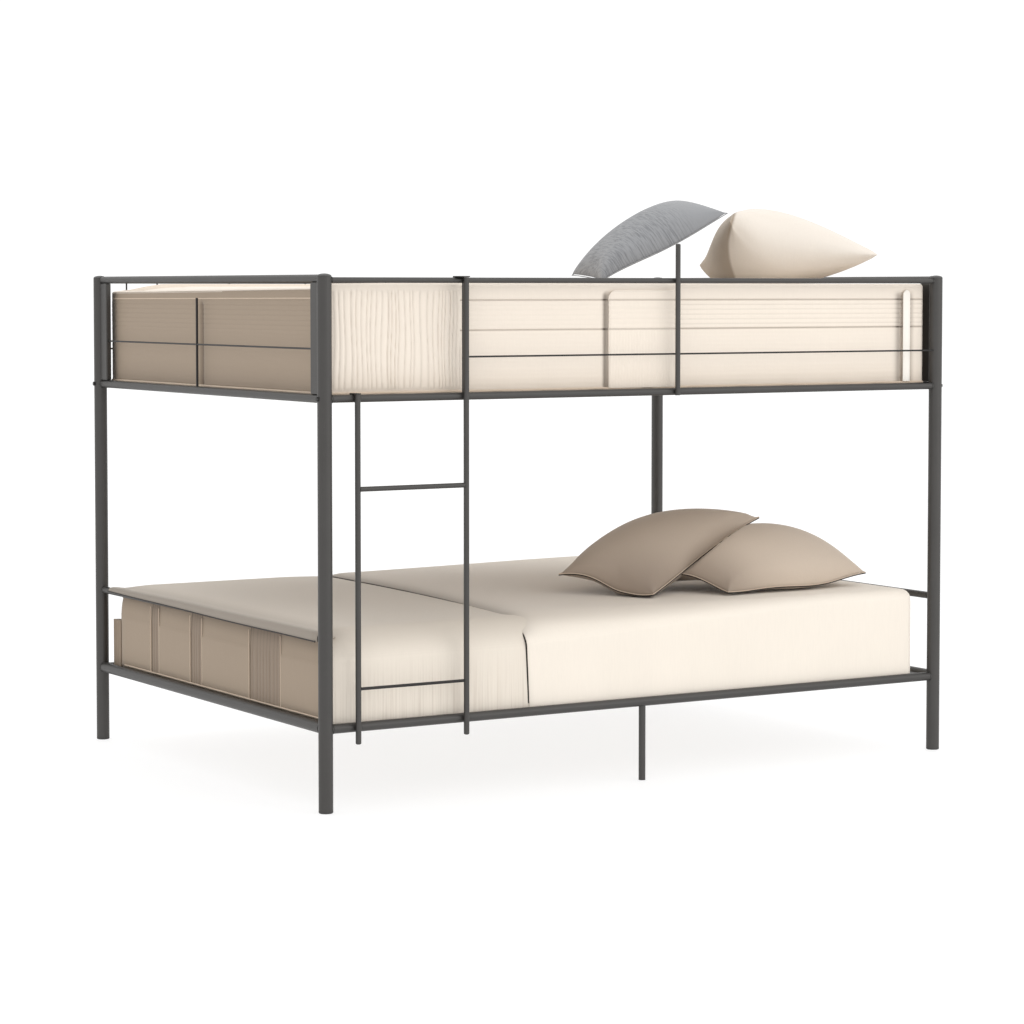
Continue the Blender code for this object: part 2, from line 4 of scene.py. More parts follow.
import bpy
from mathutils import Euler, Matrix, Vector


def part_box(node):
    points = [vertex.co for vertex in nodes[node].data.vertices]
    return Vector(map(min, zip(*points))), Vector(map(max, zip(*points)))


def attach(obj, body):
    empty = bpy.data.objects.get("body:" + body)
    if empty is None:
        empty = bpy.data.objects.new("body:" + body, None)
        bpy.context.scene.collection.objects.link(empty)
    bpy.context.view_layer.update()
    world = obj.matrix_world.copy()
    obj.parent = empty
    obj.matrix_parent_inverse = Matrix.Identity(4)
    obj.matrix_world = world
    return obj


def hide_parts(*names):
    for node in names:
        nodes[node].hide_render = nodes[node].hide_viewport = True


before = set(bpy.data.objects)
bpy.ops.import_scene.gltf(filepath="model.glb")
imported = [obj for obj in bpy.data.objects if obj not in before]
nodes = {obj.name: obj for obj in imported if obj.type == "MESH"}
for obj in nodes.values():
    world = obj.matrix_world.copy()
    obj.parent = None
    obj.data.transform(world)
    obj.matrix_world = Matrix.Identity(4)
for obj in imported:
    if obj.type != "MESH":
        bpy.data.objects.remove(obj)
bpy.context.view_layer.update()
fullTurn = 2 * math.pi


# Camera, floor and light

studio = {
    "cameraPlace": (-4.3986, -7.2431, 1.3424),
    "lookAlong": (0.51802, 0.85379, -0.05200),
    "lens": 101.23,
    "sensorWidth": 36.0,
    "shiftDown": 0.0703,
    "viewEnd": 200.0,
    "skyStrength": 1.1,
    "lampsAim": (0.0, 0.0, 0.7),
    "keyPlace": (3.2, -6.5, 3.8),
    "keySize": 7.0,
    "keyPower": 110.0,
    "topPlace": (0.0, 0.5, 5.0),
    "topSize": 5.0,
    "topPower": 40.0,
    "floorSize": 90.0,
    "floorHeight": -0.0004,
    "floorTones": (0.25, 0.28),
    "floorGlow": 0.74,
}
white = (1.0, 1.0, 1.0, 1.0)


def clearSelection():
    bpy.ops.object.select_all(action="DESELECT")


def activate(piece):
    clearSelection()
    piece.select_set(True)
    bpy.context.view_layer.objects.active = piece


def makeCamera():
    clearSelection()
    bpy.ops.object.camera_add(location=studio["cameraPlace"])
    camera = bpy.context.object
    camera.rotation_euler = Vector(studio["lookAlong"]).to_track_quat("-Z", "Y").to_euler()
    camera.data.lens = studio["lens"]
    camera.data.sensor_width = studio["sensorWidth"]
    camera.data.shift_y = -studio["shiftDown"]
    camera.data.clip_end = studio["viewEnd"]
    bpy.context.scene.camera = camera


def aimedLight(name, place, size, power):
    clearSelection()
    bpy.ops.object.light_add(type="AREA", location=place)
    lamp = bpy.context.object
    lamp.name = name
    lamp.rotation_euler = (Vector(studio["lampsAim"]) - Vector(place)).to_track_quat("-Z", "Y").to_euler()
    lamp.data.size = size
    lamp.data.energy = power


def makeLight():
    world = bpy.data.worlds.new("paleSky")
    bpy.context.scene.world = world
    world.use_nodes = True
    sky = world.node_tree.nodes["Background"]
    sky.inputs["Color"].default_value = white
    sky.inputs["Strength"].default_value = studio["skyStrength"]
    aimedLight("keyLight", studio["keyPlace"], studio["keySize"], studio["keyPower"])
    aimedLight("topLight", studio["topPlace"], studio["topSize"], studio["topPower"])
    bpy.context.scene.view_settings.view_transform = "Standard"


makeCamera()
makeLight()
print("camera and light made")


# Shader nodes

class Wire:  # one socket, so that sums on sockets read as plain sums
    def __init__(self, finish, socket):
        self.finish = finish
        self.socket = socket

    def maths(self, operation, *others):
        return self.finish.add("ShaderNodeMath", {"operation": operation}, [self, *others])

    def __add__(self, other):
        return self.maths("ADD", other)

    def __sub__(self, other):
        return self.maths("SUBTRACT", other)

    def __mul__(self, other):
        return self.maths("MULTIPLY", other)

    def __rsub__(self, other):
        return self.finish.add("ShaderNodeMath", {"operation": "SUBTRACT"}, [other, self])

    __radd__ = __add__
    __rmul__ = __mul__

    def sine(self):
        return self.maths("SINE")

    def limited(self):
        return self.finish.add("ShaderNodeClamp", {}, [self])


class Finish:  # a material and its nodes
    def __init__(self, name, roughness=0.5, metallic=0.0, sheen=0.0, coat=0.0):
        self.material = bpy.data.materials.new(name)
        self.material.use_nodes = True
        self.tree = self.material.node_tree
        self.shader = self.tree.nodes["Principled BSDF"]
        self.shader.inputs["Roughness"].default_value = roughness
        self.shader.inputs["Metallic"].default_value = metallic
        self.shader.inputs["Sheen Weight"].default_value = sheen
        self.shader.inputs["Coat Weight"].default_value = coat
        self.place = self.add("ShaderNodeTexCoord", output="Object")

    def add(self, kind, settings=None, sockets=(), output=0):
        node = self.tree.nodes.new(kind)
        for key, value in (settings or {}).items():
            setattr(node, key, value)
        pairs = sockets.items() if isinstance(sockets, dict) else enumerate(sockets)
        for key, value in pairs:
            self.plug(value, node.inputs[key])
        return Wire(self, node.outputs[output])

    def plug(self, value, socket):
        if isinstance(value, Wire):
            self.tree.links.new(value.socket, socket)
        else:
            socket.default_value = value

    def axes(self):
        split = self.tree.nodes.new("ShaderNodeSeparateXYZ")
        self.plug(self.place, split.inputs[0])
        return [Wire(self, part) for part in split.outputs]

    def noise(self, scale, detail=2.0, stretch=(1.0, 1.0, 1.0)):
        where = self.add("ShaderNodeVectorMath", {"operation": "MULTIPLY"}, [self.place, stretch])
        return self.add("ShaderNodeTexNoise", {}, {"Vector": where, "Scale": scale, "Detail": detail})

    def mixed(self, amount, low, high):
        return self.add("ShaderNodeMix", {"data_type": "RGBA"}, {0: amount, 6: low, 7: high}, output=2)

    def attribute(self, name):
        return self.add("ShaderNodeAttribute", {"attribute_name": name}, output="Fac")

    def bump(self, height, strength, depth):
        return self.add("ShaderNodeBump", {}, {"Strength": strength, "Distance": depth, "Height": height})

    def feed(self, **sockets):
        for key, value in sockets.items():
            self.plug(value, self.shader.inputs[key.replace("_", " ")])
        return self.material


def darker(colour, share):
    return (colour[0] * share, colour[1] * share, colour[2] * share, 1.0)


# Metal, plastic and rubber finishes

hardFinishes = {
    "gunmetal": {"colour": (0.066, 0.063, 0.060), "roughness": 0.40, "metallic": 0.55, "grain": 1400.0},
    "capPlastic": {"colour": (0.060, 0.058, 0.056), "roughness": 0.45, "metallic": 0.0, "grain": 900.0},
    "footRubber": {"colour": (0.045, 0.043, 0.041), "roughness": 0.65, "metallic": 0.0, "grain": 600.0},
    "blackSteel": {"colour": (0.022, 0.020, 0.019), "roughness": 0.42, "metallic": 0.4, "grain": 1400.0},
}


def hardFinish(name):
    spec = hardFinishes[name]
    finish = Finish(name, spec["roughness"], spec["metallic"])
    grain = finish.noise(spec["grain"], 3.0)
    cloud = finish.noise(7.0, 3.0)
    dust = finish.noise(60.0, 4.0)
    tone = (cloud * 0.6 + dust * 0.4).limited()
    return finish.feed(
        Base_Color=finish.mixed(tone, darker(spec["colour"], 0.86), darker(spec["colour"], 1.16)),
        Roughness=(spec["roughness"] - 0.07 + dust * 0.10 + grain * 0.06).limited(),
        Normal=finish.bump(grain, 0.16, 0.0003),
    )


# Fabrics: thread is the spacing of the weave, and weave is how much it shows; shade is the colour painted
# where the cloth falls in shade

def fabric(colour, shade, thread, weave):
    return {"colour": colour, "shade": shade, "thread": thread, "weave": weave}


fabrics = {
    "creamKnit": fabric((0.80, 0.715, 0.62), (0.62, 0.52, 0.42), 0.0026, 0.30),
    "taupeKnit": fabric((0.34, 0.265, 0.195), (0.25, 0.19, 0.14), 0.0026, 0.30),
    "coverCotton": fabric((0.76, 0.69, 0.60), (0.50, 0.445, 0.38), 0.0016, 0.22),
    "duvetCotton": fabric((0.82, 0.75, 0.66), (0.56, 0.50, 0.435), 0.0014, 0.18),
    "pillowTaupe": fabric((0.56, 0.465, 0.375), (0.26, 0.20, 0.155), 0.0012, 0.18),
    "pillowGrey": fabric((0.27, 0.275, 0.285), (0.17, 0.17, 0.18), 0.0014, 0.25),
    "pillowCream": fabric((0.74, 0.675, 0.60), (0.33, 0.265, 0.20), 0.0012, 0.18),
    "tanCord": fabric((0.62, 0.50, 0.385), (0.3, 0.24, 0.18), 0.0011, 0.35),
    # a near-black cord that stands in for a thin line of shadow at contacts
    "shadowLineCord": fabric((0.018, 0.013, 0.010), (0.01, 0.01, 0.01), 0.0011, 0.35),
    "paleCord": fabric((0.88, 0.83, 0.76), (0.6, 0.5, 0.4), 0.0011, 0.2),
}
# the colour of painted shadow in folds, seams and contacts
creaseShadeColour = (0.075, 0.052, 0.037, 1.0)
pleatsAndShade = {"scale": 150.0, "colour": (0.52, 0.44, 0.36, 1.0), "top": 0.40}
greyCreasesAndShade = {"along": 46.0, "across": 4.0, "colour": (0.14, 0.145, 0.155, 1.0), "end": 0.62}


def fabricFinish(name):  # the attribute shade paints shade where a side or top falls in shade, and crease paints shadow in soft folds, seams and contacts
    spec = fabrics[name]
    finish = Finish(name, 0.88, sheen=0.12)
    turn = fullTurn / spec["thread"]
    x, y, z = finish.axes()
    weave = ((x * turn).sine() + (y * turn).sine() + (z * turn).sine()) * 0.333
    fuzz = finish.noise(1500.0, 2.0)
    cloud = finish.noise(3.5, 3.0)
    slub = finish.noise(240.0, 2.0, (1.0, 1.0, 0.12))
    tone = 0.5 + weave * spec["weave"] + (cloud - 0.5) * 0.35 + (slub - 0.5) * 0.45 + (fuzz - 0.5) * 0.2
    plain = finish.mixed(tone.limited(), darker(spec["colour"], 0.94), darker(spec["colour"], 1.05))
    height = weave * 0.5 + fuzz * 0.5 + slub * 0.4
    if name == "coverCotton":  # fine upright pleats on the drape, bumped, with painted shade in their hollows
        fine = finish.noise(pleatsAndShade["scale"], 3.0, (1.0, 0.02, 0.02))
        low = ((pleatsAndShade["top"] - z) * 9.0).limited()
        # dark is painted shade in the pleat hollows
        dark = ((fine - 0.46) * 3.2).limited() * low * 0.55
        plain = finish.mixed(dark.limited(), plain, pleatsAndShade["colour"])
        height = height + fine * 2.5 * low
    if name == "pillowGrey":  # fine creases that curve across the pillow, bumped, with painted shade in them
        along = finish.attribute("lengthwise")
        across = finish.attribute("widthwise")
        bent = along + across * across * 0.10 + across * 0.08
        flow = [bent * greyCreasesAndShade["along"], across * greyCreasesAndShade["across"], 0.0]
        where = finish.add("ShaderNodeCombineXYZ", {}, flow)
        wander = {"Vector": where, "Scale": 1.0, "Detail": 3.0, "Distortion": 0.6}
        body = ((greyCreasesAndShade["end"] - along) * 2.2).limited()
        lines = ((finish.add("ShaderNodeTexNoise", {}, wander) - 0.44) * 4.0).limited() * body
        plain = finish.mixed((lines * 0.75).limited(), plain, greyCreasesAndShade["colour"])
        height = height - lines * 9.0
    shaded = finish.mixed(finish.attribute("shade").limited(), plain, (*spec["shade"], 1.0))
    # painted shadow in folds, seams and contacts, from the crease attribute
    creaseShaded = finish.mixed(finish.attribute("creaseShade").limited(), shaded, creaseShadeColour)
    return finish.feed(
        Base_Color=creaseShaded,
        Roughness=(0.80 + fuzz * 0.16).limited(),
        Normal=finish.bump(height, 0.30, 0.0006),
    )


finishes = {name: hardFinish(name) for name in hardFinishes}
finishes.update({name: fabricFinish(name) for name in fabrics})
print("finishes made")


# Modelling helpers

def intoEdit(piece, mode="FACE"):  # edit mode with nothing selected
    activate(piece)
    bpy.ops.object.mode_set(mode="EDIT")
    bpy.ops.mesh.select_mode(type=mode)
    bpy.ops.mesh.select_all(action="DESELECT")


def backToObject():
    bpy.ops.object.mode_set(mode="OBJECT")


def useModifier(piece, kind, **settings):
    activate(piece)
    made = piece.modifiers.new(kind.title(), kind)
    for key, value in settings.items():
        setattr(made, key, value)
    bpy.ops.object.modifier_apply(modifier=made.name)


def addSheet(name, columns, rows, place):  # a grid, each point put in place by its column and row
    clearSelection()
    bpy.ops.mesh.primitive_grid_add(x_subdivisions=columns - 1, y_subdivisions=rows - 1, size=1.0)
    piece = bpy.context.object
    piece.name = name
    for vert in piece.data.vertices:
        column = round((vert.co.x + 0.5) * (columns - 1))
        row = round((vert.co.y + 0.5) * (rows - 1))
        vert.co = place(column, row)
    return piece


def closeUp(piece, gap=0.00002):  # merges meeting edges, fills what is open and turns the faces out
    intoEdit(piece, "VERT")
    bpy.ops.mesh.select_all(action="SELECT")
    bpy.ops.mesh.remove_doubles(threshold=gap)
    bpy.ops.mesh.select_all(action="DESELECT")
    bpy.ops.mesh.select_non_manifold()
    bpy.ops.mesh.fill_holes(sides=0)
    bpy.ops.mesh.select_all(action="SELECT")
    bpy.ops.mesh.normals_make_consistent(inside=False)
    backToObject()


def finishPiece(piece, finish, body, replaced=(), slot=None, angle=40.0):
    piece.data.materials.clear()
    piece.data.materials.append(finishes[finish])
    activate(piece)
    bpy.ops.object.transform_apply(location=True, rotation=True, scale=True)
    bpy.ops.object.shade_smooth_by_angle(angle=math.radians(angle))
    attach(piece, body)
    if replaced:
        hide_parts(*replaced)
    return piece


def joinPieces(name, parts):
    clearSelection()
    for part in parts:
        part.select_set(True)
    bpy.context.view_layer.objects.active = parts[0]
    if len(parts) > 1:
        bpy.ops.object.join()
    joined = bpy.context.view_layer.objects.active
    joined.name = name
    return joined


def addCord(name, path, radius, closed=False, sides=8):  # a round cord along points
    count = len(path)
    frames = []
    for step, point in enumerate(path):
        ahead = path[(step + 1) % count] if closed or step + 1 < count else point
        behind = path[step - 1] if closed or step > 0 else point
        along = (ahead - behind).normalized()
        helper = Vector((0.0, 0.0, 1.0)) if abs(along.z) < 0.9 else Vector((1.0, 0.0, 0.0))
        side = along.cross(helper).normalized()
        frames.append((point, side, along.cross(side)))
    columns = count + 1 if closed else count

    def place(column, row):
        point, side, other = frames[column % count]
        turn = -fullTurn * row / sides
        return point + radius * (math.cos(turn) * side + math.sin(turn) * other)

    cord = addSheet(name, columns, sides + 1, place)
    closeUp(cord)
    return cord


def mark(piece, name, valueAt):  # writes an attribute from each vertex and its normal
    layer = piece.data.attributes.new(name, "FLOAT", "POINT")
    for vert in piece.data.vertices:
        layer.data[vert.index].value = valueAt(vert.co, vert.normal)


def smoothStep(low, high, value):
    share = min(max((value - low) / (high - low), 0.0), 1.0)
    return share * share * (3 - 2 * share)


def bell(middle, width, value):
    return math.exp(-((value - middle) / width) ** 2)


# Frame: CAD nodes keep their shape and take a powder coat; straps get rounded edges

nodeFinishes = {
    "post_cap": "capPlastic",
    "foot_cap": "footRubber",
    "rail_bolt": "blackSteel",
    "end_mid_rod": "blackSteel",
    "guard_mid_rod": "blackSteel",
    "guard_grid": "blackSteel",
    "ladder_tie": "blackSteel",
}
softNodes = ("upper_mattress", "lower_mattress", "lower_cover", "duvet", "pillow")


def finishNodes():
    for name, node in nodes.items():
        if name.startswith(softNodes):
            continue
        kind = next((kind for start, kind in nodeFinishes.items() if name.startswith(start)), "gunmetal")
        for place in node.material_slots:
            place.material = finishes[kind]


def makeHooks():
    for name in ("ladder_hook_low", "ladder_hook_top"):
        node = nodes[name]
        clearSelection()
        hook = bpy.data.objects.new(name.replace("_", "") + "Bent", node.data.copy())
        bpy.context.scene.collection.objects.link(hook)
        intoEdit(hook)
        bpy.ops.mesh.select_all(action="SELECT")
        bpy.ops.mesh.remove_doubles(threshold=0.00001)
        bpy.ops.mesh.dissolve_limited(angle_limit=math.radians(1))
        backToObject()
        sharp = {"limit_method": "ANGLE", "angle_limit": math.radians(30)}
        useModifier(hook, "BEVEL", width=0.0009, segments=2, **sharp)
        finishPiece(hook, "gunmetal", "ladder", [name], "gunmetal_steel")


finishNodes()
makeHooks()
print("frame finished")


# Mattress cores: a closed border with relief, its corners rounded in plan

def stops(start, end, coarse, fineSpans=()):  # places along a line, close together inside the fine spans
    limits = [edge for low, high, _ in fineSpans for edge in (low, high) if start < edge < end]
    edges = sorted({start, end, *limits})
    made = []
    for low, high in zip(edges, edges[1:]):
        middle = (low + high) / 2
        step = next((fine for first, last, fine in fineSpans if first <= middle <= last), coarse)
        count = max(1, math.ceil((high - low) / step))
        made += [low + (high - low) * part / count for part in range(count)]
    return made + [end]


# Each side of a mattress in turn: its outward direction, and the corners where it starts and ends

mattressSides = {
    "front": ((0, -1, 0), "frontLeft", "frontRight"),
    "right": ((1, 0, 0), "frontRight", "backRight"),
    "back": ((0, 1, 0), "backRight", "backLeft"),
    "left": ((-1, 0, 0), "backLeft", "frontLeft"),
}
cornerSteps = 8


def borderLoop(low, high, radii, along):  # points round it: place, outward direction, side, coordinate
    loop = []
    for number, (side, (out, startCorner, endCorner)) in enumerate(mattressSides.items()):
        across = side in ("front", "back")
        flip = side in ("back", "left")
        first, last = (low[0], high[0]) if across else (low[1], high[1])
        startRadius, endRadius = radii[startCorner], radii[endCorner]
        if flip:
            places = stops(first + endRadius, last - startRadius, *along[side])
        else:
            places = stops(first + startRadius, last - endRadius, *along[side])
        line = (high if side in ("right", "back") else low)[1 if across else 0]
        for place in reversed(places) if flip else places:
            spot = (place, line, 0) if across else (line, place, 0)
            loop.append((Vector(spot), Vector(out), side, place))
        centre = Vector((
            high[0] - endRadius if "Right" in endCorner else low[0] + endRadius,
            high[1] - endRadius if "back" in endCorner else low[1] + endRadius,
            0,
        ))
        for step in range(1, cornerSteps):
            turn = (0.25 * (number - 1) + 0.25 * step / cornerSteps) * fullTurn
            turned = Vector((math.cos(turn), math.sin(turn), 0))
            loop.append((centre + endRadius * turned, turned, "corner", 0.0))
    return loop


def borderRows(low, high, bottomRound, topRound, heights):  # (bottom inset's share, top's share, height)
    rows = [(1.6, 0.0, low + 0.0005)]
    for step in range(7):
        turn = step / 6 * math.pi / 2
        rows.append((1 - math.sin(turn), 0.0, low + bottomRound * (1 - math.cos(turn))))
    rows += [(0.0, 0.0, height) for height in heights if low + bottomRound < height < high - topRound]
    for step in range(11):
        turn = step / 10 * math.pi / 2
        rows.append((0.0, 1 - math.cos(turn), high - topRound * (1 - math.sin(turn))))
    return rows


def makeCore(name, low, high, radii, along, heights, spec, relief):  # knitted sides, taupe at its ends
    loop = borderLoop(low, high, radii, along)
    rows = borderRows(low[2], high[2], spec["bottomRound"], spec["topRound"], heights)
    rows.append((0.0, 1.0, high[2] - spec["recess"]))

    def place(column, row):
        point, out, side, coordinate = loop[column % len(loop)]
        lower, upperShare, height = rows[row]
        topInset = spec["insetSide"] * out.y ** 2 + spec["insetEnd"] * out.x ** 2
        inset = lower * spec["bottomRound"] + upperShare * topInset
        if row == len(rows) - 1:
            inset += 0.004
        swell = relief(side, coordinate, height) if lower + upperShare < 0.001 else 0.0
        return point + out * (swell - inset) + Vector((0, 0, height))

    core = addSheet(name, len(loop) + 1, len(rows), place)
    closeUp(core)
    core.data.materials.clear()
    core.data.materials.append(finishes["creamKnit"])
    core.data.materials.append(finishes["taupeKnit"])
    return core


def finishCore(core, body, node):
    activate(core)
    bpy.ops.object.shade_smooth_by_angle(angle=math.radians(50))
    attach(core, body)
    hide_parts(node)


def loopCord(name, low, high, radii, height, radius, proud):  # piping round a mattress
    loop = borderLoop(low, high, radii, {side: (0.08, []) for side in mattressSides})
    path = [point + out * proud + Vector((0, 0, height)) for point, out, _, _ in loop]
    return addCord(name, path, radius, closed=True)


def quiltedTop(name, low, high, height, thick, puff):  # diamond quilting
    columns = 97
    rows = 69

    def place(column, row):
        x = low[0] + (high[0] - low[0]) * column / (columns - 1)
        y = low[1] + (high[1] - low[1]) * row / (rows - 1)
        cell = abs(math.sin((x + y) * 16) * math.sin((x - y) * 16))
        rim = min(column, columns - 1 - column, row, rows - 1 - row) / 3
        return (x, y, height - puff + puff * min(cell * 1.6, 1.0) * min(rim, 1.0))

    panel = addSheet(name, columns, rows, place)
    useModifier(panel, "SOLIDIFY", thickness=thick, offset=-1.0)
    return panel


def rollRibs(value, edges, heights):  # soft rolls between edges, each with its own height
    for number in range(len(edges) - 1):
        if edges[number] <= value <= edges[number + 1]:
            share = (value - edges[number]) / (edges[number + 1] - edges[number])
            return heights[number] * (1 - abs(2 * share - 1) ** 2.6)
    return 0.0


def ribEdges(start, end, count, uneven, seed):
    draw = random.Random(seed)
    widths = [1 + uneven * (draw.random() * 2 - 1) for _ in range(count)]
    total = sum(widths)
    edges = [start]
    for width in widths:
        edges.append(edges[-1] + (end - start) * width / total)
    return edges, [0.55 + 0.45 * draw.random() for _ in range(count)]


# Upper mattress

upperLow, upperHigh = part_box("upper_mattress")
upper = {
    "bottomRound": 0.009,
    "topRound": 0.010,
    "insetSide": 0.010,
    "insetEnd": 0.014,
    "recess": 0.0145,
    "topAbove": 0.0073,
    "topSeam": 1.3160,
    "ribSeam": 1.2365,
    "bayStart": -0.962,
    "bayEnd": -0.588,
    "bayRibs": 26,
    "bayHeight": 0.0036,
    "bandRibs": 6,
    "lowRibs": 12,
    "bayFade": (1.335, 1.348),
    "strongBand": (0.05, 0.12),
    "flapLeft": -0.1245,
    "flapRight": 0.0885,
    "flapBottom": 1.0770,
    "flapTop": 1.3426,
    "flapFace": -0.7062,
    "flapCorner": 0.022,
    "flapThick": 0.0045,
    "stayMiddle": 0.905,
    "stayWidth": 0.025,
    "stayBottom": 1.0790,
    "stayFace": -0.7042,
    "stayThick": 0.004,
    "foldY": 0.066,
    "foldFade": (1.325, 1.345),
    "seamDepth": 0.0030,
    "endDrop": (0.011, 0.022),
    "dropFrom": 1.30,
    "dropAlong": (-0.965, -0.80),
    "dropAcross": (-0.698, -0.66),
    "endWeltHeight": 1.322,
}
bayEdges, bayHeights = ribEdges(upper["bayStart"], upper["bayEnd"], upper["bayRibs"], 0.45, 11)
bandEdges, bandHeights = ribEdges(upper["ribSeam"], upper["topSeam"], upper["bandRibs"], 0.12, 5)
lowEdges, lowHeights = ribEdges(upperLow.z + 0.02, upper["ribSeam"], upper["lowRibs"], 0.25, 8)
cornerRadii = {"frontLeft": 0.007, "frontRight": 0.012, "backRight": 0.02, "backLeft": 0.012}


def bayFade(height):
    rise = smoothStep(upperLow.z + 0.010, upperLow.z + 0.022, height)
    return rise * (1 - smoothStep(*upper["bayFade"], height))


def baySway(place, height):  # the bay's ribs wander a little
    return place + 0.0022 * math.sin(height * 23 + place * 31)


def upperSeams(height, width):
    return bell(upper["topSeam"], width, height) + bell(upper["ribSeam"], width, height)


def ribGaps(value, edges, strength):  # 1 between two ribs, 0 on top of one
    return 1 - min(rollRibs(value, edges, [1.0] * (len(edges) - 1)) * strength, 1.0)


def upperRelief(side, place, height):
    seam = -upper["seamDepth"] * upperSeams(height, 0.0022)
    if side == "front" and place < upper["bayEnd"]:
        ribs = rollRibs(baySway(place, height), bayEdges, bayHeights)
        return upper["bayHeight"] * ribs * bayFade(height)
    if side in ("front", "back"):
        strong = smoothStep(*upper["strongBand"], place) * 0.75 + 0.25
        ribs = 0.0019 * strong * rollRibs(height, bandEdges, bandHeights)
        ribs += 0.0008 * rollRibs(height, lowEdges, lowHeights)
        folds = 0.0
        if side == "front":
            fade = 1 - smoothStep(*upper["foldFade"], height)
            folds -= 0.008 * bell(upper["flapLeft"] - 0.004, 0.012, place) * fade
            folds -= 0.009 * bell(upper["stayMiddle"] - 0.004, 0.020, place) * fade
        return ribs + seam + folds + 0.001
    if side in ("left", "right"):
        lines = 0.0009 * rollRibs(height, bandEdges, bandHeights)
        lines += 0.0007 * rollRibs(height, lowEdges, lowHeights)
        fade = 1 - smoothStep(1.295, 1.322, height)
        return lines - 0.007 * bell(upper["foldY"], 0.011, place) * fade + 0.001
    return 0.0


def upperCreaseShade(spot, out):  # painted shade: how dark the cloth is drawn in its seams, rib gaps and folds
    front = out.y < -0.5
    inBandRibs = upper["ribSeam"] < spot.z < upper["topSeam"]
    if front and spot.x < upper["bayEnd"]:
        return ribGaps(baySway(spot.x, spot.z), bayEdges, 1.35) * 0.20 * bayFade(spot.z)
    if abs(out.y) > 0.5:
        seamShade = 0.42 * upperSeams(spot.z, 0.0020)
        strong = smoothStep(*upper["strongBand"], spot.x) * 0.8 + 0.2
        lines = 0.13 * strong * ribGaps(spot.z, bandEdges, 1.4) if inBandRibs else 0.0
        if not front:
            return seamShade + lines
        fade = 1 - smoothStep(*upper["foldFade"], spot.z)
        flapFoldShade = 0.62 * bell(upper["flapLeft"] - 0.006, 0.009, spot.x)
        stayFoldShade = 0.55 * bell(upper["stayMiddle"] - 0.026, 0.013, spot.x)
        stayFoldShade += 0.33 * bell(upper["stayMiddle"] + 0.020, 0.007, spot.x)
        return seamShade + lines + (flapFoldShade + stayFoldShade) * fade
    if out.x < -0.5:
        fade = 1 - smoothStep(1.300, 1.322, spot.z)
        rows = 0.10 * ribGaps(spot.z, bandEdges, 1.4) if inBandRibs else 0.0
        return 0.55 * bell(upper["foldY"], 0.010, spot.y) * fade + rows
    return 0.0


def slopeEnd(piece, low, high):  # the mattress's top sinks towards its left end
    least, most = upper["endDrop"]
    start = upper["dropFrom"]
    for vert in piece.data.vertices:
        share = max(vert.co.z - start, 0.0) / (high.z - start)
        drop = least + (most - least) * (vert.co.y - low.y) / (high.y - low.y)
        near = 1 - smoothStep(*upper["dropAlong"], vert.co.x)
        vert.co.z -= drop * share * near * smoothStep(*upper["dropAcross"], vert.co.y)


def makeUpperMattress():
    heights = stops(upperLow.z + 0.009, upperHigh.z, 0.0035, [(1.23, 1.32, 0.0018)])
    along = {
        "front": (0.030, [(-0.965, -0.585, 0.0020), (-0.170, -0.090, 0.004), (0.850, 0.960, 0.004)]),
        "right": (0.05, [(0.02, 0.11, 0.005)]),
        "back": (0.05, []),
        "left": (0.05, [(0.03, 0.10, 0.004)]),
    }
    low = upperLow + Vector((0.001, 0.001, 0.0))
    high = upperHigh + Vector((-0.001, -0.001, upper["topAbove"]))
    core = makeCore("upperMattressCore", low, high, cornerRadii, along, heights, upper, upperRelief)
    slopeEnd(core, low, high)
    for face in core.data.polygons:
        face.material_index = 1 if abs(face.normal.x) > 0.7 and abs(face.center.x) > 0.9 else 0
    mark(core, "creaseShade", upperCreaseShade)
    mark(core, "shade", lambda spot, out: 0.45 * (1 - smoothStep(upperLow.z, 1.16, spot.z)))
    finishCore(core, "upper_bed", "upper_mattress")
    inner = (low[0] + 0.026, low[1] + 0.022)
    outer = (high[0] - 0.026, high[1] - 0.022)
    panel = quiltedTop("upperMattressTop", inner, outer, upperHigh.z - 0.0012, 0.004, 0.0035)
    slopeEnd(panel, low, high)
    finishPiece(panel, "creamKnit", "upper_bed", slot="cream_knit")


def makeUpperTrim():
    low = upperLow + Vector((0.001, 0.001, 0.0))
    high = upperHigh - Vector((0.001, 0.001, 0.0))
    bottom = loopCord("upperBottomShadowLine", low, high, cornerRadii, upperLow.z + 0.0062, 0.0034, 0.0003)
    finishPiece(bottom, "tanCord", "upper_bed", slot="cover_fabric")
    upright = [Vector((low.x + 0.0012, -0.6985, z)) for z in (1.09, 1.2, 1.348)]
    across = []
    for y in (-0.68, -0.3, 0.1, 0.5, 0.68):
        across.append(Vector((low.x - 0.0006, y, upper["endWeltHeight"] - 0.005 * (y + 0.68) / 1.36)))
    cords = [addCord("welt", upright, 0.0022), addCord("welt", across, 0.0016)]
    finishPiece(joinPieces("upperEndWelts", cords), "tanCord", "upper_bed", slot="cover_fabric")


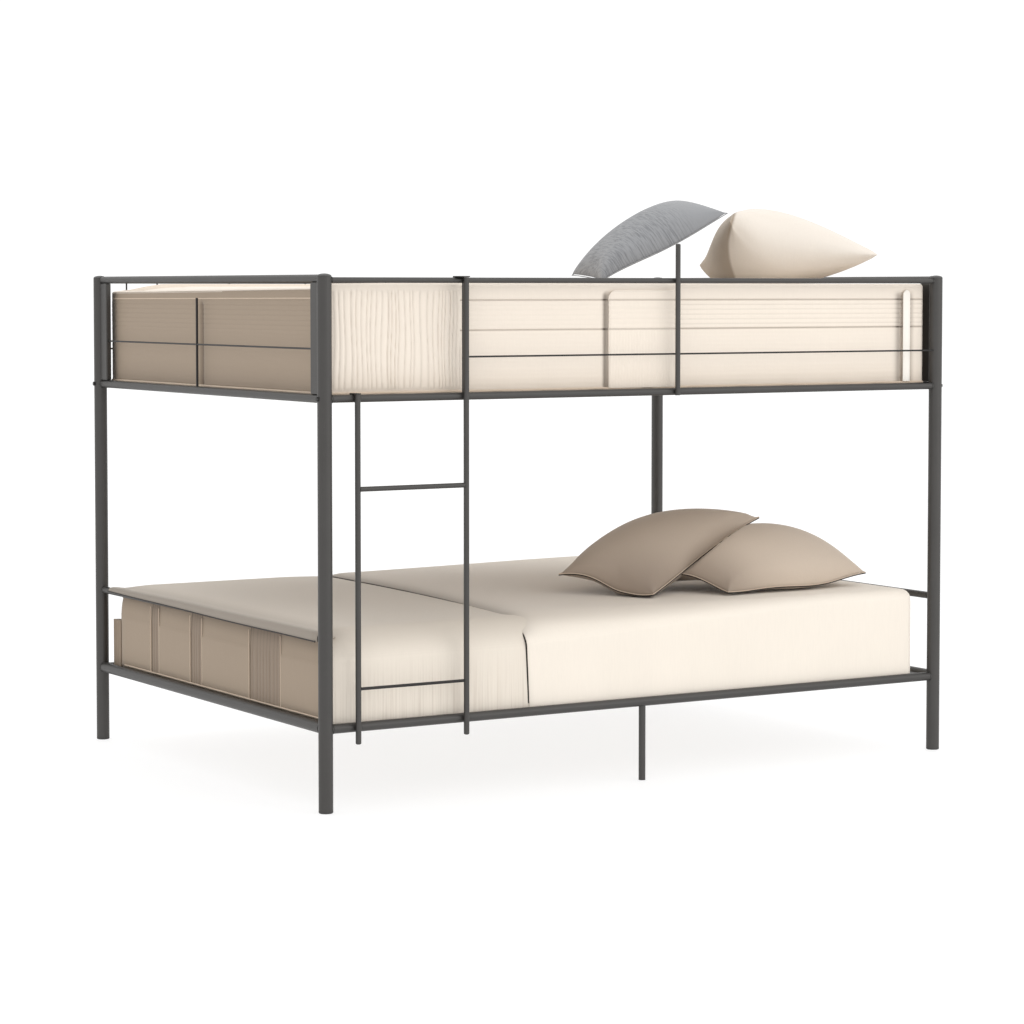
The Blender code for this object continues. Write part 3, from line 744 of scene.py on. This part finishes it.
def makeFlap():  # a flap of the same knit, its upper left corner rounded
    left, right = upper["flapLeft"], upper["flapRight"]
    bottom, top = upper["flapBottom"], upper["flapTop"]
    corner = upper["flapCorner"]
    columns = 90
    rows = 130

    def relief(x, z):
        if z < upper["ribSeam"]:
            ribs = 0.0011 * abs(math.sin((x + 0.002 * math.sin(z * 30)) * 330))
        else:
            ribs = 0.0016 * rollRibs(z, bandEdges, bandHeights)
        rim = min(x - left, top - z)
        return ribs - 0.0022 * upperSeams(z, 0.0022) - 0.003 * (1 - smoothStep(0.0, 0.006, rim))

    def place(column, row):
        z = bottom + (top - bottom) * row / (rows - 1)
        cut = max(z - (top - corner), 0.0)
        edge = corner - math.sqrt(max(corner ** 2 - cut ** 2, 0.0))
        x = left + edge + (right - left - edge) * column / (columns - 1)
        return (x, upper["flapFace"] - relief(x, z), z)

    flap = addSheet("upperFlap", columns, rows, place)
    useModifier(flap, "SOLIDIFY", thickness=upper["flapThick"], offset=-1.0)
    mark(flap, "creaseShade", lambda spot, out: 0.42 * upperSeams(spot.z, 0.002))
    mark(flap, "shade", lambda spot, out: 0.35 * (1 - smoothStep(upperLow.z, 1.16, spot.z)))
    finishPiece(flap, "creamKnit", "upper_bed", slot="cream_knit", angle=50)


def makeStay():  # a pale strap with a round top
    half = upper["stayWidth"] / 2
    bottom, top = upper["stayBottom"], upper["flapTop"]
    columns = 11
    rows = 60

    def place(column, row):
        z = bottom + (top - bottom) * row / (rows - 1)
        wide = half * (1.25 - 0.25 * smoothStep(1.08, 1.14, z))
        cut = max(z - (top - half), 0.0)
        wide = min(wide, math.sqrt(max(half ** 2 - cut ** 2, 0.000004)))
        across = column / (columns - 1) * 2 - 1
        return (upper["stayMiddle"] + wide * across, upper["stayFace"] - 0.0028 * (1 - across ** 2), z)

    stay = addSheet("upperStay", columns, rows, place)
    useModifier(stay, "SOLIDIFY", thickness=upper["stayThick"], offset=-1.0)
    finishPiece(stay, "paleCord", "upper_bed", slot="cream_knit", angle=50)


makeUpperMattress()
makeUpperTrim()
makeFlap()
makeStay()
print("upper mattress made")


# Lower mattress

lowerLow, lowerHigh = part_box("lower_mattress")
lower = {
    "bottomRound": 0.014,
    "topRound": 0.075,
    "insetSide": 0.075,
    "insetEnd": 0.008,
    "recess": 0.001,
    "bands": ((0.360, 0.410, 3), (0.070, 0.140, 4), (-0.419, -0.237, 9)),
    "panelProud": 0.0034,
    "padNear": 0.641,
    "padFar": 0.694,
    "padTop": 0.362,
    "padFace": -0.9745,
    "padThick": 0.018,
    "weltHeights": (0.236, 0.33, 0.425),
    "hemWelt": (-0.69, -0.45, -0.2, 0.0, 0.2, 0.4, 0.6),
}
lowerRadii = {"frontLeft": 0.008, "frontRight": 0.03, "backRight": 0.03, "backLeft": 0.085}
bandRibs = [ribEdges(start, end, count, 0.35, 20 + count) for start, end, count in lower["bands"]]


def inBand(place):
    for number, (start, end, _) in enumerate(lower["bands"]):
        if start < place < end:
            return number
    return None


def lowerRelief(side, place, height):
    if side != "left":
        return 0.0
    number = inBand(place)
    if number is None:
        edge = min(abs(place - limit) for start, end, _ in lower["bands"] for limit in (start, end))
        return lower["panelProud"] * smoothStep(0.0, 0.005, edge)
    edges, heights = bandRibs[number]
    return 0.0022 * rollRibs(place, edges, heights) - 0.0012


def lowerShade(spot, out):
    if out.x > -0.4 or spot.x > -0.9 or inBand(spot.y) is None:
        return 0.0
    return 0.85


# painted shade under the cover's lip, in the rib gaps and at the band edges of the left end
def lowerCreaseShade(spot, out):
    if spot.x > -0.9:
        return 0.0
    value = 0.30 * smoothStep(0.405, 0.445, spot.z)
    number = inBand(spot.y)
    if number is not None:
        value += 0.30 * ribGaps(spot.y, bandRibs[number][0], 1.4)
    for start, end, _ in lower["bands"]:
        value += 0.45 * (bell(start + 0.001, 0.0028, spot.y) + bell(end - 0.001, 0.0028, spot.y))
    return value


def makeCornerPad():  # a low pad at the far left corner
    far, near = lower["padFar"], lower["padNear"]
    bottom = lowerLow.z + 0.002

    def place(column, row):
        y = far + (near - far) * column / 24
        z = bottom + (lower["padTop"] - lowerLow.z - 0.002) * row / 11
        return (lower["padFace"] - 0.0020 * abs(math.sin(column / 24 * math.pi * 4)), y, z)

    pad = addSheet("lowerCornerPad", 25, 12, place)
    useModifier(pad, "SOLIDIFY", thickness=lower["padThick"], offset=-1.0)
    mark(pad, "shade", lambda spot, out: 0.6)
    finishPiece(pad, "taupeKnit", "lower_bed", slot="cream_knit")


def makeLowerMattress():
    heights = stops(lowerLow.z + 0.014, lowerHigh.z, 0.02, [])
    fine = [(start - 0.008, end + 0.008, 0.0022) for start, end, _ in lower["bands"]]
    along = {"front": (0.06, []), "right": (0.06, []), "back": (0.06, []), "left": (0.03, fine)}
    low = lowerLow + Vector((0.001, 0.001, 0.0))
    high = lowerHigh - Vector((0.001, 0.001, 0.001))
    core = makeCore("lowerMattressCore", low, high, lowerRadii, along, heights, lower, lowerRelief)
    for face in core.data.polygons:
        face.material_index = 1 if face.normal.x < -0.3 and face.center.x < -0.88 else 0
    mark(core, "shade", lowerShade)
    mark(core, "creaseShade", lowerCreaseShade)
    finishCore(core, "lower_bed", "lower_mattress")
    makeCornerPad()
    x = low.x - lower["panelProud"] - 0.0002
    cords = [addCord("welt", [Vector((x, y, lowerLow.z + 0.0135)) for y in lower["hemWelt"]], 0.0020)]
    for start, end, _ in lower["bands"]:
        for y in (start - 0.004, end + 0.004):
            upright = [Vector((x + 0.0008, y, z)) for z in lower["weltHeights"]]
            cords.append(addCord("welt", upright, 0.0013))
    finishPiece(joinPieces("lowerEndWelts", cords), "tanCord", "lower_bed", slot="cover_fabric")


makeLowerMattress()
print("lower mattress made")


# Cover and duvet: a cross section goes from the front hem over the top to the back hem

cloth = {
    "coverSide": 0.7045,
    "coverLeft": -0.9835,
    "coverRight": -0.150,
    "coverTop": 0.4605,
    "coverShoulder": (0.085, 0.085),
    "coverHem": 0.2262,
    "coverThick": 0.0035,
    "duvetSide": 0.7103,
    "duvetRight": 0.9373,
    "duvetTop": 0.4725,
    "duvetHem": 0.2262,
    "duvetThick": 0.0048,
    "leftShoulder": (0.140, 0.083),
    "rightShoulder": (0.030, 0.030),
    "edgeFront": -0.389,
    "edgeReach": 0.092,
    "edgeRoll": 0.0075,
    "lapHem": 0.4415,
    "lapStart": -0.694,
    "lapEnd": 0.645,
    "lapCrown": 0.4640,
    "lapFall": 0.0225,
    "lapRise": 0.0115,
    "lapThick": 0.0030,
    "farCorner": 0.615,
}
quarter = math.pi / 2


def shoulderCurve(shoulder):
    return quarter * math.sqrt((shoulder[0] ** 2 + shoulder[1] ** 2) / 2)


def drapeLength(shoulder, top, hem):
    return shoulderCurve(shoulder) + top - hem - shoulder[1]


def drapePoint(shoulder, distance):  # (out, down) from where the shoulder starts
    curve = shoulderCurve(shoulder)
    if distance < curve:
        turn = distance / curve * quarter
        return shoulder[0] * math.sin(turn), shoulder[1] * (1 - math.cos(turn))
    return shoulder[0], shoulder[1] + distance - curve


def crossShares(sideSteps, topSteps):  # shares of the front drape, of the top and of the back drape
    made = [(1 - step / sideSteps, 0.0, 0.0) for step in range(sideSteps)]
    made += [(0.0, step / topSteps, 0.0) for step in range(topSteps + 1)]
    return made + [(0.0, 1.0, (step + 1) / sideSteps) for step in range(sideSteps)]


def makeCover():
    rows = crossShares(26, 30)
    columns = 90
    shoulder = cloth["coverShoulder"]
    length = drapeLength(shoulder, cloth["coverTop"], cloth["coverHem"])
    flatHalf = cloth["coverSide"] - shoulder[0]
    left, right = cloth["coverLeft"], cloth["coverRight"]

    def place(column, row):
        front, across, back = rows[row]
        side = front + back
        x = left + (right - left) * (column / (columns - 1)) ** 1.15
        out, down = drapePoint(shoulder, side * length)
        y = flatHalf * (across * 2 - 1) + (out if back else -out)
        puff = 0.0055 * smoothStep(left, left + 0.11, x) * (1 - smoothStep(-0.45, -0.25, x))
        if y > cloth["farCorner"]:  # the far corner is rounded in plan like the mattress under it
            bend = min((y - cloth["farCorner"]) / 0.09, 1.0)
            inset = 0.085 * (1 - math.sqrt(max(1 - bend ** 2, 0.0)))
            x = max(x, left + inset * (1 - smoothStep(-0.95, -0.6, x)))
        ripple = 0.0010 * math.sin(x * 62 + 0.5 * math.sin(x * 23)) * side * smoothStep(0.5, 0.9, side)
        height = cloth["coverTop"] - down + puff * (1 - min(side * 2, 1))
        return (x, y + (ripple if y > 0 else -ripple), height)

    cover = addSheet("lowerCover", columns, len(rows), place)
    useModifier(cover, "SOLIDIFY", thickness=cloth["coverThick"], offset=-1.0)
    mark(cover, "shade", coverShade)
    finishPiece(cover, "coverCotton", "lower_bed", ["lower_cover"], "cover_fabric", 50)


def coverShade(spot, out):
    top = smoothStep(0.370, 0.450, spot.z)
    edge = 0.65 * (1 - smoothStep(-0.99, -0.88, spot.x)) * smoothStep(0.43, 0.455, spot.z)
    return min(top * 0.55 + edge, 1.3)


# The cover's turned end, as (x, z) from the mattress over the crossbar to its hem

lapSection = [
    (-0.9690, 0.4612), (-0.9760, 0.4618), (-0.9830, 0.4629), (-0.9900, 0.4640), (-0.9970, 0.4645),
    (-1.0040, 0.4640), (-1.0095, 0.4620), (-1.0130, 0.4580), (-1.0148, 0.4530), (-1.0152, 0.4470),
    (-1.0150, cloth["lapHem"]),
]


def lapWave(y):
    return 0.0006 * math.sin(y * 9)


def makeLap():
    start, end = cloth["lapStart"], cloth["lapEnd"]

    def place(column, row):
        share = 1 - row / 79
        y = start + (end - start) * share
        x, z = lapSection[column]
        outer = x < -1.0
        fall = min(max((cloth["lapCrown"] - z) / cloth["lapFall"], 0.0), 1.0)
        z += cloth["lapRise"] * share ** 1.5 * fall * outer
        ends = min(share, 1 - share) * (end - start)
        tuck = 1 - math.sqrt(min(ends / 0.012, 1.0))
        return (x + 0.004 * tuck * outer, y, z - 0.0016 * tuck + lapWave(y))

    lap = addSheet("lowerCoverLap", len(lapSection), 80, place)
    useModifier(lap, "SOLIDIFY", thickness=cloth["lapThick"], offset=-1.0)
    # painted shade on the turned lip, darkest on its outer face
    mark(lap, "shade", lambda spot, out: min(0.85 + 0.9 * (1 - smoothStep(-1.010, -0.965, spot.x)), 1.5))
    mark(lap, "creaseShade", lambda spot, out: 0.10 + 0.42 * (1 - smoothStep(-1.0160, -0.985, spot.x)))
    finishPiece(lap, "coverCotton", "lower_bed", slot="cover_fabric", angle=60)
    # a dark cord under the lip's hem stands in for the shadow line beneath it
    hem = []
    for step in range(31):
        y = -0.692 + step * 0.0444
        lift = cloth["lapRise"] * (step / 30) ** 1.5 + lapWave(y)
        hem.append(Vector((-1.0156, y, cloth["lapHem"] - 0.0008 + lift)))
    finishPiece(addCord("lowerLapShadowLine", hem, 0.0018), "shadowLineCord", "lower_bed", slot="cover_fabric")


def duvetEdge(front, y):  # where the duvet's left edge is, on the top or down the drape
    if front > 0:
        return cloth["edgeFront"] + 0.0105 * smoothStep(0.2, 1.1, front)
    share = min(max((y + 0.57) / 1.14, 0.0), 1.0)
    return cloth["edgeFront"] + cloth["edgeReach"] * (1 - (1 - share) ** 2.2)


def makeDuvet():
    rows = crossShares(34, 46)
    flatColumns = 96
    endColumns = 26
    top = cloth["duvetTop"]
    hem = cloth["duvetHem"]
    rightStart = cloth["duvetRight"] - cloth["rightShoulder"][0]
    endLength = drapeLength(cloth["rightShoulder"], top, hem)

    def shoulderAt(x):
        share = smoothStep(-0.40, 0.75, x)
        ends = zip(cloth["leftShoulder"], cloth["rightShoulder"])
        return [first + (last - first) * share for first, last in ends]

    def place(column, row):
        front, across, back = rows[row]
        side = front + back
        alongShare = min(column / (flatColumns - 1), 1.0)
        guess = cloth["edgeFront"] + (rightStart - cloth["edgeFront"]) * alongShare
        shoulder = shoulderAt(guess)
        flatHalf = cloth["duvetSide"] - shoulder[0]
        y = flatHalf * (across * 2 - 1)
        edge = duvetEdge(0.0, flatHalf) if back else duvetEdge(front, y)
        x = edge + (rightStart - edge) * (alongShare ** 1.12)
        lift = cloth["edgeRoll"] * (1 - (1 - min((x - edge) / 0.055, 1.0)) ** 2.2) - cloth["edgeRoll"]
        if column < flatColumns:
            out, down = drapePoint(shoulder, side * drapeLength(shoulder, top, hem))
            ripple = 0.0012 * math.sin(x * 17 + 1.1 * math.sin(x * 7)) * smoothStep(0.45, 1.0, side)
            ripple *= 1 - smoothStep(0.6, 0.9, x)
            drop = smoothStep(0.2, 0.6, side)
            reach = flatHalf + out + ripple * 0.6 + lift * 0.16 * drop
            yOut = y if not side else (reach if back else -reach)
            soft = 0.0014 * math.sin(x * 5.1 + 1.3) * math.sin(y * 4.3 + 0.6) * (1 - min(side * 3, 1))
            return (x, yOut, top - down + lift * (1 - drop) + soft * (x > edge + 0.05))
        endDistance = (column - flatColumns + 1) / endColumns * endLength
        sideDistance = side * drapeLength(shoulder, top, hem)
        depth = max(endDistance, sideDistance)
        turn = quarter * endDistance / (endDistance + sideDistance)
        out, down = drapePoint(cloth["rightShoulder"], min(depth, endLength))
        sign = 1 if back else -1
        if not side:
            return (rightStart + out, y, top - down)
        return (rightStart + out * math.sin(turn), sign * (flatHalf + out * math.cos(turn)), top - down)

    duvet = addSheet("lowerDuvet", flatColumns + endColumns, len(rows), place)
    useModifier(duvet, "SOLIDIFY", thickness=cloth["duvetThick"], offset=-1.0)
    mark(duvet, "shade", duvetShade)
    mark(duvet, "creaseShade", duvetCreaseShade)
    finishPiece(duvet, "duvetCotton", "lower_bed", ["duvet"], "duvet_cotton", 50)
    # a dark cord in the crease under the duvet's left edge stands in for its shadow line
    edge = [Vector(place(0, row)) for row in range(len(rows))]
    path = []
    for row in range(1, len(rows) - 1):
        run = (edge[row + 1] - edge[row - 1]).normalized()
        inward = Vector((0.0, run.z, -run.y)).normalized()
        path.append(edge[row] + inward * 0.0036 + Vector((-0.0014, 0.0, 0.0)))
    finishPiece(addCord("duvetEdgeShadowLine", path, 0.0019), "shadowLineCord", "lower_bed", slot="cover_fabric")


def edgeDistance(spot):
    if spot.z > 0.455:
        return spot.x - duvetEdge(0.0, spot.y)
    return spot.x - duvetEdge((0.47 - spot.z) / 0.24, spot.y)


def duvetShade(spot, out):
    up = smoothStep(0.3, 0.95, out.z) * smoothStep(0.43, 0.465, spot.z)
    return up * (0.50 - 0.40 * smoothStep(-0.3, 0.7, spot.x))


# painted shadow along the duvet's left edge, wider on the top than down the drape
def duvetCreaseShade(spot, out):
    near = edgeDistance(spot)
    top = smoothStep(0.40, 0.455, spot.z)
    near = max(near, 0)
    return 0.55 * math.exp(-near / 0.028) * top + 0.12 * math.exp(-near / 0.006) * (1 - top)


makeCover()
makeLap()
makeDuvet()
print("cover and duvet made")


# Pillows: two crowned sheets sewn at a pinched rim, puffed by a short cloth simulation

bedTops = {"lower": cloth["duvetTop"] + 0.0006, "upper": upperHigh.z - 0.0009}
pillows = {
    "lowerLeftPillow": {
        "node": "pillow_lower_left", "body": "lower_left_pillow",
        "slot": "pillow_taupe", "finish": "pillowTaupe", "cord": "tanCord", "bed": "lower",
        "size": (0.614, 0.406, 0.0935, 0.058), "taper": 0.0,
        "place": (0.342, -0.277, 0.5936), "turn": (35.2, -6.2, -10.9),
        "pulls": [
            ((-1, -1), 1.0, (-0.062, 0.090, -0.113)),
            ((-1, 1), 0.6, (0.0, 0.0, 0.010)),
            ((-1, 0), 0.5, (0.0, 0.0, -0.026)),
        ],
    },
    "lowerRightPillow": {
        "node": "pillow_lower_right", "body": "lower_right_pillow",
        "slot": "pillow_taupe", "finish": "pillowTaupe", "cord": "tanCord", "bed": "lower",
        "size": (0.600, 0.400, 0.118, 0.030), "taper": 0.0,
        "place": (0.585, -0.410, 0.5446), "turn": (5.0, 2.0, 6.0),
        "pulls": [
            ((-1, -1), 0.7, (0.055, 0.045, -0.046)),
            ((0.3, -1), 0.8, (0.0, 0.0, -0.034)),
            ((-1, 1), 0.9, (-0.03, 0.0, -0.070)),
            ((1, -1), 0.6, (-0.030, 0.018, 0.016)),
        ],
        "under": "lowerLeftPillow", "dent": 0.045,
    },
    "upperGreyPillow": {
        "node": "pillow_upper_grey", "body": "upper_grey_pillow",
        "slot": "pillow_grey", "finish": "pillowGrey", "cord": "pillowGrey", "bed": "upper",
        "size": (0.395, 0.345, 0.083, 0.008), "taper": 0.0,
        "place": (0.236, -0.360, 1.4725), "turn": (-15.8, -31.6, 6.4),
        "pulls": [
            ((-1, -1), 0.6, (-0.040, 0.0, 0.010)),
            ((-0.45, -1), 0.55, (0.0, 0.0, 0.010)),
        ],
    },
    "upperCreamPillow": {
        "node": "pillow_upper_cream", "body": "upper_cream_pillow",
        "slot": "pillow_cream", "finish": "pillowCream", "cord": None, "bed": "upper",
        "size": (0.471, 0.350, 0.104, 0.100), "taper": 0.478,
        "place": (0.687, -0.408, 1.4570), "turn": (-22.6, 4.6, -1.8),
        "pulls": [
            ((-1, 1), 0.7, (0.016, 0.0, -0.055)),
            ((-1, -1), 0.45, (0.022, -0.010, 0.060)),
        ],
    },
}
puff = {"most": 0.004, "pressure": 4.0, "frames": 14}
rimSteps = 60  # on the upper pillow's edge, where the one under it is limited
# where the cream pillow's left side is painted in shade; the boundary bends with height
creamShadeEdge = {"across": (0.855, -0.519), "place": 0.622, "bend": 0.020, "middle": 1.480, "reach": 0.09}


def pillowFrame(spec):
    yaw, pitch, roll = (math.radians(turn) for turn in spec["turn"])
    return Euler((roll, pitch, yaw), "XYZ").to_matrix(), Vector(spec["place"])


def pillowWorld(spec, side, u, v):  # the pulls droop or lift single corners
    turned, centre = pillowFrame(spec)
    spot = turned @ pillowLocal(spec, side, u, v) + centre
    for (pullU, pullV), radius, offset in spec["pulls"]:
        spot += Vector(offset) * math.exp(-((u - pullU) ** 2 + (v - pullV) ** 2) / radius ** 2)
    return spot


def pillowLocal(spec, side, u, v):
    length, width, above, below = spec["size"]
    dome = math.sqrt(max((1 - u * u) * (1 - v * v), 0)) * (1 - spec["taper"] * u)
    return Vector((
        length / 2 * u * (1 - 0.05 * (1 - v * v) * u * u),
        width / 2 * v * (1 - 0.05 * (1 - u * u) * v * v),
        side * dome * (above if side > 0 else below),
    ))


def halfPillow(name, spec, side, columns, rows):
    turned, centre = pillowFrame(spec)

    def place(column, row):
        u = math.sin((column / (columns - 1) - 0.5) * math.pi)
        v = math.sin((row / (rows - 1) - 0.5) * math.pi)
        return pillowWorld(spec, side, u, v)

    half = addSheet(name, columns, rows, place)
    for key, valueAt in (("lengthwise", 0), ("widthwise", 1)):
        layer = half.data.attributes.new(key, "FLOAT", "POINT")
        for vert in half.data.vertices:
            local = turned.transposed() @ (vert.co - centre)
            layer.data[vert.index].value = local[valueAt] / spec["size"][valueAt] * 2
    return half


def puffUp(piece):  # a short cloth simulation under pressure, with a limit on how far a point moves
    rest = [vert.co.copy() for vert in piece.data.vertices]
    activate(piece)
    made = piece.modifiers.new("Puff", "CLOTH")
    made.settings.use_pressure = True
    made.settings.uniform_pressure_force = puff["pressure"]
    made.settings.quality = 5
    made.settings.effector_weights.gravity = 0.0
    scene = bpy.context.scene
    for frameNumber in range(1, puff["frames"] + 1):
        scene.frame_set(frameNumber)
    evaluated = piece.evaluated_get(bpy.context.evaluated_depsgraph_get())
    moved = [vert.co.copy() for vert in evaluated.data.vertices]
    piece.modifiers.remove(made)
    scene.frame_set(1)
    for vert, start, end in zip(piece.data.vertices, rest, moved):
        step = end - start
        vert.co = start + step * min(1.0, puff["most"] / max(step.length, 0.000001))


def planDistance(first, second):  # squared, seen from above
    return (first.x - second.x) ** 2 + (first.y - second.y) ** 2


def settle(piece, spec):  # flattened on the bed and under the pillow that lies on it
    bed = bedTops[spec["bed"]]
    for vert in piece.data.vertices:
        if vert.co.z < bed:
            vert.co.z = bed + 0.00005 * (bed - vert.co.z)
    if "under" not in spec:
        return
    above = pillows[spec["under"]]
    rim = [pillowWorld(above, 1, step / rimSteps * 2 - 1, -1) for step in range(rimSteps + 1)]
    for vert in piece.data.vertices:
        number = min(range(len(rim)), key=lambda step: planDistance(rim[step], vert.co))
        run = rim[min(number + 1, rimSteps)] - rim[max(number - 1, 0)]
        gap = vert.co - rim[number]
        outward = (gap.x * run.y - gap.y * run.x) / max(math.hypot(run.x, run.y), 0.0001)
        beyond = abs(gap.x * run.x + gap.y * run.y) > 0.02 * run.length
        if number in (0, rimSteps) and beyond and outward > 0:
            continue
        if outward > 0:
            limit = rim[number].z - 0.005 + 0.9 * max(outward - 0.012, 0.0)
        else:
            limit = rim[number].z - 0.005 - spec["dent"] * min(-outward / 0.08, 1.0)
        if vert.co.z > limit:
            vert.co.z = max(limit, bed + 0.0004)


def rimPath(spec, steps, drop=0.0):
    bed = bedTops[spec["bed"]]
    path = []
    for edge in range(4):
        for step in range(steps):
            along = math.sin((step / steps - 0.5) * math.pi)
            u, v = ((along, -1.0), (1.0, along), (-along, 1.0), (-1.0, -along))[edge]
            spot = pillowWorld(spec, 1, u, v)
            spot.z = max(spot.z - drop, bed + 0.0012)
            path.append(spot)
    return path


def makePillow(name):
    spec = pillows[name]
    halves = [halfPillow(name, spec, side, 81, 61) for side in (1, -1)]
    pillow = joinPieces(name, halves)
    closeUp(pillow)
    puffUp(pillow)
    settle(pillow, spec)
    mark(pillow, "shade", lambda spot, out: pillowShade(name, spot, out))
    bed = bedTops[spec["bed"]]
    # painted contact shadow where the pillow meets its bed
    mark(pillow, "creaseShade", lambda spot, out: 0.75 * (1 - smoothStep(0.0, 0.010, spot.z - bed)))
    finishPiece(pillow, spec["finish"], spec["body"], [spec["node"]], spec["slot"], 80)
    if spec["cord"]:
        cord = addCord(name + "Welt", rimPath(spec, 30), 0.0013, closed=True)
        finishPiece(cord, spec["cord"], spec["body"], slot=spec["slot"])
    # a dark cord just under the rim of each lower pillow stands in for its contact shadow
    if spec["bed"] == "lower":
        cord = addCord(name + "ShadowLine", rimPath(spec, 30, 0.0030), 0.0016, closed=True)
        finishPiece(cord, "shadowLineCord", spec["body"], slot=spec["slot"])


def pillowShade(name, spot, out):
    spec = pillows[name]
    turned, centre = pillowFrame(spec)
    local = turned.transposed() @ (spot - centre)
    u = local.x / spec["size"][0] * 2
    low = 1 - smoothStep(0.0, 0.16, spot.z - bedTops[spec["bed"]])
    if name == "lowerLeftPillow":
        return 0.15 + 0.55 * low + 0.2 * (1 - smoothStep(-0.9, 0.2, u))
    if name == "lowerRightPillow":
        return 0.45 * low * (1 - smoothStep(-0.7, 0.1, u)) + 0.35 * (1 - smoothStep(-0.85, -0.35, u))
    if name == "upperCreamPillow":
        # the cream pillow's left side face painted in shade, with a darker painted line near its top
        bend = ((spot.z - creamShadeEdge["middle"]) / creamShadeEdge["reach"]) ** 2 * creamShadeEdge["bend"]
        across = creamShadeEdge["across"][0] * spot.x + creamShadeEdge["across"][1] * spot.y
        past = across - creamShadeEdge["place"] - bend
        knotShade = 0.35 * bell(0.0, 0.004, past) * smoothStep(1.47, 1.52, spot.z)
        return 0.8 * (1 - smoothStep(-0.004, 0.004, past)) + knotShade
    return 0.25 * low


for pillowName in pillows:
    makePillow(pillowName)
print("pillows made")


# Small metalwork: weld beads, and round plugs in open tube ends. Each tube has its axis and radius

weldedTubes = {
    "lower_side_rail_front": (0, 0.0125), "lower_side_rail_back": (0, 0.0125),
    "upper_side_rail_front": (0, 0.0100), "upper_side_rail_back": (0, 0.0100),
    "top_side_rail_front": (0, 0.0070), "top_side_rail_back": (0, 0.0070),
    "end_lower_rail_left": (1, 0.0150), "end_lower_rail_right": (1, 0.0150),
    "end_upper_rail_left": (1, 0.0110), "end_upper_rail_right": (1, 0.0110),
    "end_top_rail_left": (1, 0.0100), "end_top_rail_right": (1, 0.0100),
    "end_crossbar_left": (1, 0.0100), "end_crossbar_right": (1, 0.0100),
}
beads = {"inward": 0.0042, "proud": 0.0003, "thick": 0.0011}


def weldRing(spot, axis, radius, thick):  # a bead round a tube that meets another
    clearSelection()
    bpy.ops.mesh.primitive_torus_add(
        major_segments=20, minor_segments=6, major_radius=radius, minor_radius=thick, location=spot,
        rotation=Vector(axis).to_track_quat("Z", "Y").to_euler(),
    )
    return bpy.context.object


def plugAt(x, y, z, radius):
    clearSelection()
    bpy.ops.mesh.primitive_uv_sphere_add(segments=20, ring_count=10, radius=radius, location=(x, y, z))
    plug = bpy.context.object
    plug.scale = (1.0, 1.0, 0.45)
    return plug


def endSpots(name, axis):  # the middles of a tube's two ends
    low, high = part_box(name)
    middle = (low + high) / 2
    found = []
    for edge in (low, high):
        spot = middle.copy()
        spot[axis] = edge[axis]
        found.append(spot)
    return found


def makeFrameWelds():
    rings = []
    for name, (axis, radius) in weldedTubes.items():
        along = [0.0, 0.0, 0.0]
        along[axis] = 1.0
        for spot, inward in zip(endSpots(name, axis), (1, -1)):
            spot[axis] += inward * beads["inward"]
            rings.append(weldRing(spot, along, radius + beads["proud"], beads["thick"]))
    finishPiece(joinPieces("frameWelds", rings), "gunmetal", "frame", slot="gunmetal_steel", angle=60)


def makeLadderWelds():
    rings = []
    for spot, inward in zip(endSpots("ladder_rung", 0), (1, -1)):
        rings.append(weldRing(spot + Vector((inward * 0.0016, 0, 0)), (1, 0, 0), 0.0067, 0.0009))
    for name in ("ladder_rail_left", "ladder_rail_right"):
        spot = endSpots(name, 2)[0]
        rings.append(plugAt(spot.x, spot.y, spot.z + 0.0004, 0.0074))
    finishPiece(joinPieces("ladderWelds", rings), "gunmetal", "ladder", slot="gunmetal_steel", angle=60)


def makeUprightPlug():
    spot = endSpots("guard_upright_front", 2)[1]
    finishPiece(plugAt(spot.x, spot.y, spot.z, 0.0069), "capPlastic", "frame", slot="gunmetal_steel")


makeFrameWelds()
makeLadderWelds()
makeUprightPlug()
print("small metalwork made")


# Floor

def makeFloor():
    clearSelection()
    place = (0.0, 0.0, studio["floorHeight"])
    bpy.ops.mesh.primitive_plane_add(size=studio["floorSize"], location=place)
    floor = bpy.context.object
    floor.name = "floor"
    pale = Finish("paleFloor", 0.7)
    pale.shader.inputs["Emission Color"].default_value = white
    pale.shader.inputs["Emission Strength"].default_value = studio["floorGlow"]
    dark, light = (darker(white, tone) for tone in studio["floorTones"])
    floor.data.materials.append(pale.feed(Base_Color=pale.mixed(pale.noise(0.8), dark, light)))


makeFloor()
